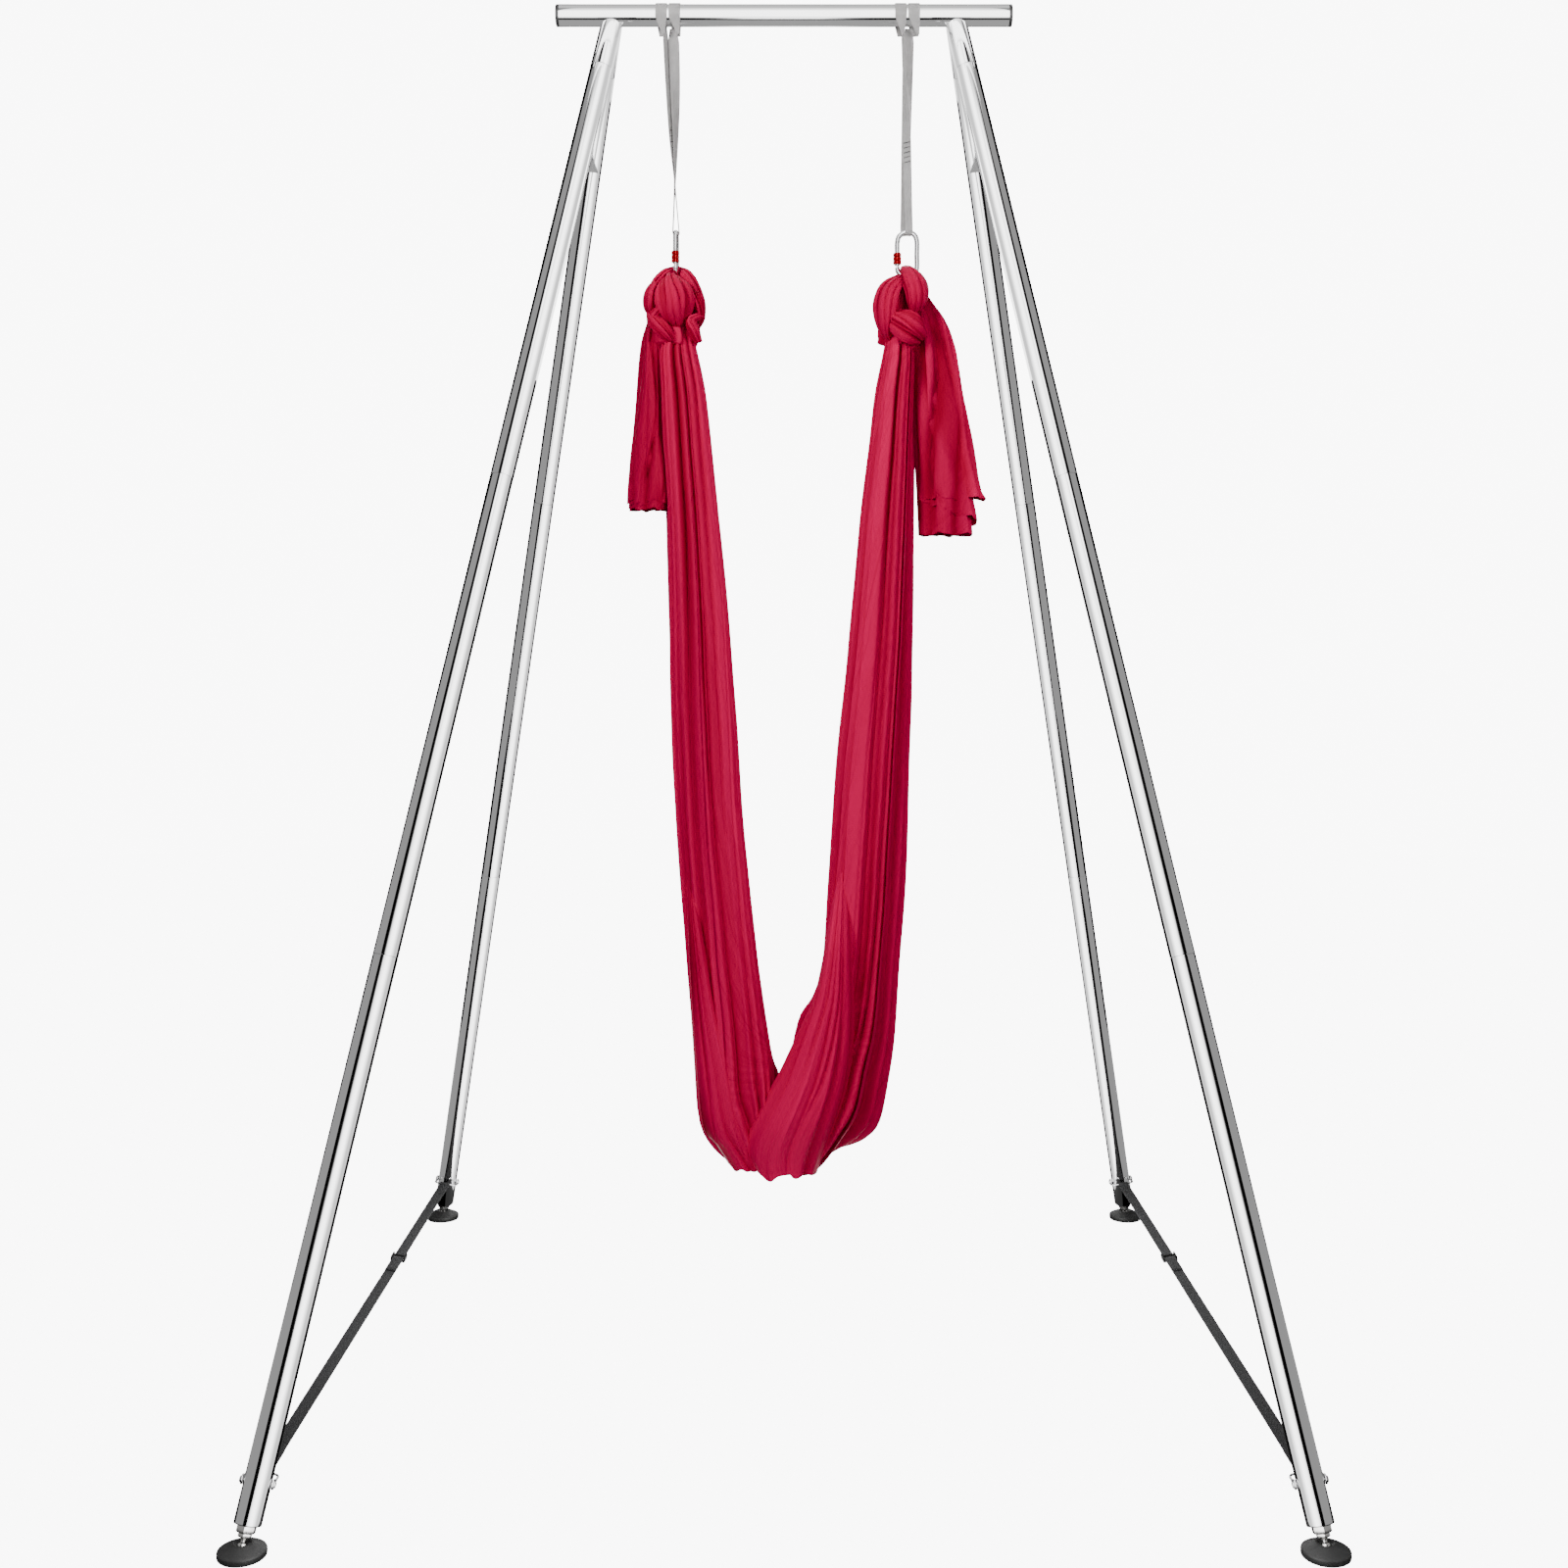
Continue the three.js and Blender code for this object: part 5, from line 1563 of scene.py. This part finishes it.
class Folds:
    """Creases and soft ridges at uneven places across gathered cloth, wandering along it."""

    def __init__(self, seed, creases, depth, ridges, swell, span=FULL_TURN, closed=True):
        draw = random.Random(seed)
        self.span = span
        self.closed = closed
        self.lines = []
        for count, low, high, kind in ((creases, 0.25, 1.4, "crease"), (ridges, 0.4, 1.0, "ridge")):
            pitch = span / max(count, 1)
            for index in range(count):
                size = depth if kind == "crease" else swell
                narrow, broad = draw.uniform(0.05, 0.12) * pitch, draw.uniform(0.25, 0.7) * pitch
                if kind == "ridge":
                    narrow = broad = draw.uniform(0.16, 0.42) * pitch
                elif draw.random() < 0.5:
                    narrow, broad = broad, narrow
                self.lines.append({
                    "kind": kind,
                    "place": pitch * (index + 0.5 + draw.uniform(-0.45, 0.45)),
                    "size": size * draw.uniform(low, high),
                    "before": narrow,
                    "after": broad,
                    "wander": draw.uniform(0.15, 0.6) * pitch,
                    "rate": draw.uniform(0.3, 1.3),
                    "phase": draw.uniform(0, FULL_TURN),
                    "fade_rate": draw.uniform(0.5, 1.8),
                    "fade_phase": draw.uniform(0, FULL_TURN),
                })

    def out(self, places, share):
        """How far out the cloth lies at each place across it: 1 is the even surface."""
        sunk = np.zeros_like(places)
        swollen = np.zeros_like(places)
        for line in self.lines:
            centre = line["place"] + line["wander"] * math.sin(
                FULL_TURN * line["rate"] * share + line["phase"],
            )
            size = line["size"] * (0.6 + 0.4 * math.sin(
                FULL_TURN * line["fade_rate"] * share + line["fade_phase"],
            ))
            offset = places - centre
            if self.closed:
                offset = (offset + self.span / 2) % self.span - self.span / 2
            scaled = np.abs(offset) / np.where(offset < 0, line["before"], line["after"])
            if line["kind"] == "crease":
                sunk += size * np.exp(-scaled)
            else:
                swollen += size * np.exp(-scaled * scaled)
        return (1 + swollen) / (1 + sunk)


def gathered_sheet(name, rings, folds, twist, sheet_size, layers, fine=200, coarse=34, start=0.0, shaped=None, lit=1.0):
    """An open sheet wound inwards in layers round rows of (outer xyz, inner xyz, half depth)."""
    width, length = sheet_size
    first = np.linspace(0, FULL_TURN, fine, endpoint=False)
    rest = np.linspace(FULL_TURN, FULL_TURN * layers, coarse * (layers - 1))
    winding = np.concatenate([first, rest])
    tuck = 1 - 0.72 * winding / winding[-1]
    points, uv_rows, crest_light_rows = [], [], []
    for row, share in zip(rings, np.linspace(0, 1, len(rings))):
        outer, inner, depth = np.array(row[:3]), np.array(row[3:6]), row[6]
        middle, half = (outer + inner) / 2, (outer - inner) / 2
        angles = winding + start + twist(share)
        out = folds.out((winding + start) % FULL_TURN, share)
        reach = out * tuck / np.percentile(out, 75)
        flare, drop = shaped(angles, tuck, share) if shaped else (1.0, 0.0)
        ring = middle + np.outer(np.cos(angles) * reach * flare, half)
        ring[:, 1] += depth * np.sin(angles) * reach
        ring[:, 2] -= drop
        for index, (x, y, z) in enumerate(ring):
            shift = noise.noise(Vector((x * 24, y * 24, z * 6))) * 0.0016
            ring[index, 0] += shift
            ring[index, 1] += shift * 0.8
        steps = np.concatenate([[0], np.cumsum(np.linalg.norm(np.diff(ring, axis=0), axis=1))])
        points.append(ring)
        uv_rows.append(np.column_stack([np.full(len(ring), share * length), steps]))
        # Painted light on the fold crests and painted shade in the valleys, scaled by lit.
        crest_light_rows.append(np.clip((out - 0.72) / 0.36, 0, 1) * lit)
    return skin(name, np.array(points), np.array(uv_rows), closed=False, crest_light=np.array(crest_light_rows))


# Rings of the hammock as shares of the silk's spread and drop: outer, then inner edge.
HAMMOCK_RINGS = [
    (-0.99, -0.036, -0.865, -0.036), (-1.05, -0.01, -0.79, -0.01), (-1.09, 0.016, -0.737, 0.016),
    (-1.08, 0.058, -0.672, 0.058), (-1.065, 0.116, -0.622, 0.116),
    (-1.03, 0.187, -0.573, 0.187), (-1.01, 0.292, -0.5, 0.292),
    (-0.992, 0.432, -0.424, 0.432), (-0.943, 0.572, -0.359, 0.572),
    (-0.866, 0.713, -0.244, 0.713), (-0.817, 0.79, -0.172, 0.783),
    (-0.78, 0.862, -0.115, 0.83), (-0.73, 0.934, -0.085, 0.853),
    (-0.53, 0.972, -0.07, 0.865), (-0.34, 0.982, -0.058, 0.871),
    (-0.15, 0.99, -0.048, 0.874), (0.04, 0.99, -0.036, 0.874),
    (0.19, 0.988, -0.022, 0.871), (0.42, 0.965, -0.008, 0.864),
    (0.63, 0.945, 0.006, 0.853), (0.735, 0.925, 0.03, 0.83),
    (0.8, 0.885, 0.085, 0.8), (0.865, 0.83, 0.2, 0.775),
    (0.905, 0.745, 0.28, 0.735), (0.96, 0.643, 0.32, 0.643),
    (1, 0.502, 0.39, 0.502), (1.04, 0.362, 0.489, 0.362),
    (1.06, 0.221, 0.576, 0.221), (1.065, 0.116, 0.668, 0.116),
    (1.07, 0.058, 0.72, 0.058), (1.07, 0.016, 0.782, 0.016), (1.04, -0.01, 0.82, -0.01),
    (0.99, -0.036, 0.88, -0.036),
]


def silk_place(across, down):
    return (SILK_MIDDLE + across * SILK_SPREAD, 0.0, KNOT_BASE - down * SILK_DROP)


def hammock_twist(share):
    """The folds lean along each strand and roll down to the lower edge at the bottom of the U."""
    bottom = math.exp(-((share - 0.5) / 0.09) ** 2)
    return math.radians(-26 + 52 * share) + math.radians(70) * bottom


def hammock_body():
    rings = []
    for out_x, out_z, in_x, in_z in resample(HAMMOCK_RINGS, 150):
        down = (out_z + in_z) / 2
        depth = 0.050 * (1 + 0.2 * eased(min(1, max(0, (down - 0.6) / 0.35))))
        depth *= 0.35 + 0.65 * eased(min(1, (down + 0.037) / 0.07))
        rings.append((*silk_place(out_x, out_z), *silk_place(in_x, in_z), depth))
    folds = Folds(23, 22, 0.8, 16, 0.10)
    return gathered_sheet(
        "hammock_body", np.array(rings), folds, hammock_twist, (CLOTH_WIDTH, HAMMOCK_LENGTH),
        8, fine=240, start=math.radians(-70),
    )


def edge_points(table, count):
    return resample([(x, 0.0, z) for x, z in table], count)[:, [0, 2]]


PANEL_ROWS = 70
PANEL_COLUMNS = 150


def drape_panel(name, first_edge, last_edge, top, hem, folds, depth, seed):
    """Loose cloth in front of the gathered silk, filled in between four edges in the front view."""
    first = edge_points(first_edge, PANEL_ROWS)
    last = edge_points(last_edge, PANEL_ROWS)
    upper = edge_points(top, PANEL_COLUMNS)
    lower = edge_points(hem, PANEL_COLUMNS)
    across = np.linspace(0, 1, PANEL_COLUMNS)
    draw = random.Random(seed)
    phase = draw.uniform(0, 6)
    points, uv_rows, crest_light_rows = [], [], []
    for index, down in enumerate(np.linspace(0, 1, PANEL_ROWS)):
        sides = np.outer(1 - across, first[index]) + np.outer(across, last[index])
        ends = (1 - down) * upper + down * lower
        corners = (1 - down) * (np.outer(1 - across, upper[0]) + np.outer(across, upper[-1]))
        corners += down * (np.outer(1 - across, lower[0]) + np.outer(across, lower[-1]))
        flat = sides + ends - corners
        out = folds.out(across, down)
        breadth = min(1, abs(sides[-1, 0] - sides[0, 0]) / 0.12)
        y = -depth - 0.012 * np.sin(math.pi * across) + 0.042 * (1 - out) * breadth
        y += 0.034 * np.exp(-across / 0.035) + 0.03 * np.exp(-(1 - across) / 0.05)
        y += 0.06 * (1 - eased(min(1, down / 0.36))) + 0.016 * eased(max(0, (down - 0.82) / 0.18))
        scallop = 0.003 * down ** 6 * (np.sin(across * 15 + phase) + 0.5 * np.sin(across * 29 + 2 * phase))
        points.append(np.column_stack([flat[:, 0], y, flat[:, 1] + scallop]))
        uv_rows.append(np.column_stack([np.full(PANEL_COLUMNS, down * 0.5), across * 0.4]))
        # Painted light on the fold crests and painted shade in the valleys.
        crest_light_rows.append(np.clip((out - 0.72) / 0.36, 0, 1))
    return skin(name, np.array(points), np.array(uv_rows), closed=False, crest_light=np.array(crest_light_rows))


# Edges of the two loose panels at the bottom of the U, as (x, z) in metres.
RIGHT_PANEL = {
    "first_edge": [
        (0.1268, 1.1393), (0.1141, 1.0337), (0.0951, 0.928), (0.0803, 0.8435), (0.0651, 0.7801),
        (0.0387, 0.7202), (-0.0088, 0.6181), (-0.0405, 0.5618), (-0.0757, 0.4949),
        (-0.0845, 0.4463), (-0.0676, 0.4082),
    ],
    "last_edge": [
        (0.1331, 1.1393), (0.1437, 0.9703), (0.1521, 0.8224), (0.1542, 0.6956), (0.1395, 0.59),
        (0.1099, 0.4949), (0.0718, 0.3934),
    ],
    "top": [
        (0.1268, 1.1393), (0.1299, 1.1414), (0.1331, 1.1393),
    ],
    "hem": [
        (-0.0676, 0.4082), (-0.0282, 0.3864), (0.007, 0.4012), (0.0247, 0.3931), (0.0718, 0.3934),
    ],
}
LEFT_PANEL = {
    "first_edge": [
        (-0.2181, 1.1385), (-0.2138, 1.0114), (-0.2096, 0.9056), (-0.2047, 0.7997),
        (-0.1969, 0.6797), (-0.1814, 0.5068), (-0.157, 0.4645), (-0.127, 0.4186),
    ],
    "last_edge": [
        (-0.2138, 1.1385), (-0.1969, 1.0326), (-0.1694, 0.8844), (-0.1482, 0.768),
        (-0.1129, 0.6233), (-0.0917, 0.528), (-0.0635, 0.4645), (-0.0353, 0.4151),
    ],
    "top": [
        (-0.2181, 1.1385), (-0.216, 1.1406), (-0.2138, 1.1385),
    ],
    "hem": [
        (-0.127, 0.4186), (-0.1059, 0.4045), (-0.0812, 0.4017), (-0.0565, 0.4045),
        (-0.0353, 0.4151),
    ],
}


def make_hammock():
    """The gathered U of silk with the loose panels that cross in front at its bottom."""
    parts = [
        hammock_body(),
        drape_panel("left_panel", **LEFT_PANEL, folds=Folds(5, 4, 0.5, 4, 0.12, 1.0, False), depth=0.052, seed=3),
        drape_panel("right_panel", **RIGHT_PANEL, folds=Folds(8, 6, 0.5, 6, 0.12, 1.0, False), depth=0.066, seed=4),
    ]
    cloth = join("hammock_cloth", parts)
    settle(cloth, "hammock", "silk", "silk_hammock")
    return cloth


# Rows of each tail: inner and outer edge in shares of the silk's spread, drop, depth, hem lift.
TAIL_RINGS = {
    "left": [
        (-1.06, -1.17, -0.14, 0.5), (-1.04, -1.22, -0.02, 0.62), (-1.02, -1.245, 0.12, 0.72),
        (-0.99, -1.275, 0.35, 0.82), (-0.97, -1.31, 0.62, 0.9), (-0.96, -1.335, 0.84, 1.0),
        (-0.965, -1.35, 1, 1),
    ],
    "right": [
        (1.07, 1.19, -0.24, 0.45), (1.06, 1.32, -0.12, 0.62), (1.05, 1.395, 0.03, 0.75),
        (1.045, 1.455, 0.22, 0.9), (1.05, 1.51, 0.46, 1.0), (1.06, 1.54, 0.72, 1.1),
        (1.07, 1.56, 1, 1.15),
    ],
}
TAIL_DROPS = {"left": 0.365, "right": 0.420}
TAIL_LIFTS = {"left": 0.016, "right": 0.078}
TAIL_FLARES = {"left": 0.0, "right": 0.36}
TAIL_FOLDS = {"left": (31, 13), "right": (52, 9)}
TAIL_LIT = {"left": 0.5, "right": 1.0}
TAIL_DEPTH = 0.034
TAIL_LAYERS = 17


def make_tail(side):
    """A tail of the silk: the outer layer's hem ends higher than the layers inside it."""
    drop = TAIL_DROPS[side]
    lift = TAIL_LIFTS[side]
    rings = []
    for inner, outer, down, deep in resample(TAIL_RINGS[side], 60):
        z = KNOT_BASE - down * drop
        outer_x, inner_x = (SILK_MIDDLE + share * SILK_SPREAD for share in (outer, inner))
        rings.append((outer_x, 0.004, z, inner_x, 0.004, z, TAIL_DEPTH * deep))
    seed, creases = TAIL_FOLDS[side]
    folds = Folds(seed, creases, 0.9, creases, 0.15)

    def hem(angles, tuck, share):
        """The outer layer flares, and its raw hem is raised and hangs in scallops."""
        waves = np.sin(angles * 5.0 + 1.0) + 0.6 * np.sin(angles * 11.0)
        outermost = np.clip((tuck - 0.93) / 0.03, 0, 1)
        flare = 1 + TAIL_FLARES[side] * share ** 2 * outermost * np.clip(np.cos(angles), 0, 1)
        return flare, share ** 6 * (0.003 * waves - lift * outermost)

    tail = gathered_sheet(
        f"tail_cloth_{side}", np.array(rings), folds, lambda share: 0.0, (CLOTH_WIDTH, drop + 0.05),
        TAIL_LAYERS, fine=130, coarse=26, start=math.radians(-150), shaped=hem,
        lit=TAIL_LIT[side],
    )
    settle(tail, "hammock", "silk", f"silk_tail_{side}")
    return tail


BUNDLE_POINTS = 168
PLEATS = 1.8


def bundle(name, stations, pleats, seed, groove, reference=(0, -1, 0), count=40):
    """A closed roll of pleated cloth along (x, y, z, half width, half depth) stations."""
    rows = resample(stations, count)
    pleats = round(pleats * PLEATS)
    folds = Folds(seed, pleats, groove * 3.6, pleats, groove * 0.4)
    places = np.linspace(0, FULL_TURN, BUNDLE_POINTS, endpoint=False)
    tangents = np.gradient(rows[:, :3], axis=0)
    points, uv_rows, crest_light_rows = [], [], []
    depth_line = Vector(reference)
    run = 0.0
    for index, (row, tangent) in enumerate(zip(rows, tangents)):
        along = Vector(tangent).normalized()
        depth_line = (depth_line - along * depth_line.dot(along)).normalized()
        side_line = along.cross(depth_line)
        out = folds.out(places, 0.4 * index / count)
        ring = row[:3] + np.outer(np.cos(places) * out * row[3], side_line)
        ring += np.outer(np.sin(places) * out * row[4], depth_line)
        if index:
            run += float(np.linalg.norm(rows[index, :3] - rows[index - 1, :3]))
        points.append(ring)
        seam = np.linspace(0, 0.3, BUNDLE_POINTS + 1)
        uv_rows.append(np.column_stack([np.full(BUNDLE_POINTS + 1, run), seam]))
        # Painted light on the pleat crests and painted shade in the grooves, at 0.6 strength.
        crest_light_rows.append(np.clip((out - 0.8) / 0.25, 0, 1) * 0.6)
    return skin(name, np.array(points), np.array(uv_rows), crest_light=np.array(crest_light_rows))


# Bundles of each knot: middle line, half width in the front view, half depth, front first.
LEFT_KNOT = [
    ("ball", 12, 0.12, [
        (-0.246, -0.008, 2.344, 0.008, 0.012), (-0.246, -0.018, 2.338, 0.024, 0.024),
        (-0.243, -0.024, 2.322, 0.040, 0.034), (-0.237, -0.026, 2.299, 0.047, 0.039),
        (-0.235, -0.024, 2.276, 0.042, 0.036), (-0.234, -0.018, 2.258, 0.028, 0.027),
        (-0.234, -0.008, 2.247, 0.010, 0.014),
    ]),
    ("arch", 9, 0.14, [
        (-0.287, 0.008, 2.300, 0.018, 0.026), (-0.276, 0.004, 2.334, 0.018, 0.028),
        (-0.258, 0.0, 2.356, 0.016, 0.024), (-0.246, 0.0, 2.3655, 0.010, 0.013),
        (-0.237, 0.0, 2.3680, 0.0085, 0.009), (-0.228, 0.0, 2.3655, 0.010, 0.013),
        (-0.214, 0.0, 2.354, 0.016, 0.024), (-0.199, 0.004, 2.330, 0.017, 0.028),
        (-0.188, 0.008, 2.296, 0.017, 0.026), (-0.184, 0.008, 2.262, 0.012, 0.020),
    ]),
    ("left_lobe", 7, 0.12, [
        (-0.272, -0.006, 2.336, 0.006, 0.010), (-0.284, -0.010, 2.326, 0.014, 0.022),
        (-0.291, -0.010, 2.306, 0.018, 0.026), (-0.292, -0.006, 2.284, 0.016, 0.024),
        (-0.286, 0.0, 2.268, 0.007, 0.012),
    ]),
    ("small_lobe", 5, 0.12, [
        (-0.262, -0.022, 2.284, 0.005, 0.008), (-0.275, -0.024, 2.272, 0.012, 0.014),
        (-0.287, -0.014, 2.258, 0.014, 0.018), (-0.290, 0.004, 2.244, 0.008, 0.014),
    ]),
    ("slant_band", 8, 0.14, [
        (-0.296, -0.004, 2.272, 0.006, 0.010), (-0.286, -0.022, 2.256, 0.015, 0.014),
        (-0.272, -0.032, 2.240, 0.018, 0.016), (-0.257, -0.034, 2.224, 0.016, 0.016),
        (-0.244, -0.030, 2.208, 0.009, 0.012),
    ]),
    ("right_band", 7, 0.14, [
        (-0.200, -0.012, 2.322, 0.006, 0.012), (-0.190, -0.018, 2.302, 0.013, 0.020),
        (-0.183, -0.016, 2.280, 0.012, 0.022), (-0.182, -0.010, 2.258, 0.009, 0.018),
        (-0.190, -0.004, 2.240, 0.006, 0.012),
    ]),
    ("corner_band", 6, 0.14, [
        (-0.178, -0.012, 2.262, 0.006, 0.008), (-0.190, -0.026, 2.260, 0.009, 0.012),
        (-0.204, -0.032, 2.250, 0.013, 0.013), (-0.196, -0.030, 2.230, 0.013, 0.015),
        (-0.186, -0.020, 2.206, 0.008, 0.012),
    ]),
    ("core", 9, 0.16, [
        (-0.243, 0.010, 2.345, 0.020, 0.020), (-0.241, 0.014, 2.300, 0.050, 0.036),
        (-0.240, 0.012, 2.255, 0.052, 0.038), (-0.241, 0.008, 2.218, 0.056, 0.040),
        (-0.243, 0.004, 2.196, 0.050, 0.038),
    ]),
]
RIGHT_KNOT = [
    ("arch", 9, 0.13, [
        (0.262, 0.036, 2.338, 0.016, 0.014), (0.262, 0.024, 2.358, 0.016, 0.013),
        (0.264, 0.008, 2.3675, 0.0100, 0.0085), (0.264, -0.008, 2.3675, 0.0105, 0.0085),
        (0.270, -0.022, 2.360, 0.019, 0.013), (0.281, -0.034, 2.340, 0.030, 0.017),
        (0.288, -0.040, 2.316, 0.030, 0.019), (0.288, -0.038, 2.292, 0.024, 0.018),
        (0.284, -0.028, 2.272, 0.012, 0.012),
    ]),
    ("crescent", 11, 0.15, [
        (0.272, -0.006, 2.346, 0.006, 0.014), (0.252, -0.016, 2.337, 0.018, 0.028),
        (0.233, -0.022, 2.315, 0.030, 0.034), (0.225, -0.024, 2.288, 0.033, 0.036),
        (0.222, -0.022, 2.260, 0.027, 0.034), (0.223, -0.014, 2.236, 0.018, 0.028),
        (0.230, -0.004, 2.214, 0.008, 0.016),
    ]),
    ("low_lobe", 9, 0.13, [
        (0.226, -0.020, 2.262, 0.010, 0.014), (0.243, -0.034, 2.252, 0.026, 0.022),
        (0.263, -0.038, 2.240, 0.036, 0.026), (0.283, -0.032, 2.228, 0.034, 0.025),
        (0.298, -0.018, 2.218, 0.020, 0.018),
    ]),
    ("core", 9, 0.16, [
        (0.262, 0.012, 2.345, 0.020, 0.022), (0.256, 0.014, 2.300, 0.050, 0.038),
        (0.256, 0.012, 2.255, 0.050, 0.038), (0.256, 0.008, 2.218, 0.050, 0.040),
        (0.250, 0.004, 2.196, 0.046, 0.038),
    ]),
]


def make_knot(side, bundles, seed):
    parts = []
    for index, (name, pleats, groove, stations) in enumerate(bundles):
        parts.append(bundle(name, stations, pleats, seed + index, groove))
    knot = join(f"knot_cloth_{side}", parts)
    settle(knot, "hammock", "silk", f"silk_knot_{side}")
    return knot


# ---------------------------------------------------------------- putting it together

make_crossbar()
make_legs()
for side, sign in SIDES.items():
    make_strap(side, sign)

make_sling("left", -0.254, 0.017, 90, [
    {"x": -0.0065, "low_x": 0, "turn": 66, "low_turn": 90, "from": 0.5, "to": 0.8, "bow": -0.003, "depth": 0},
    {"x": 0.0105, "low_x": 0, "turn": 14, "low_turn": 90, "from": 0.05, "to": 0.9, "bow": 0.006, "depth": 0},
], (0.50, 0.585, 4))
make_sling("right", 0.270, 0.0, 0, [
    {"x": -0.0085, "low_x": 0.004, "turn": 66, "low_turn": 8, "from": 0.3, "to": 0.62, "bow": 0.0, "depth": -0.004},
    {"x": 0.004, "low_x": -0.006, "turn": 10, "low_turn": -4, "from": 0.2, "to": 0.8, "bow": 0, "depth": 0.004},
], (0.565, 0.66, 5))
make_carabiner("left", (-0.237, 0, BOW_HEIGHT), 90)
make_carabiner("right", (0.270, 0, BOW_HEIGHT), 0)

hammock = make_hammock()
tails = {side: make_tail(side) for side in SIDES}
knots = [make_knot("left", LEFT_KNOT, 100), make_knot("right", RIGHT_KNOT, 200)]
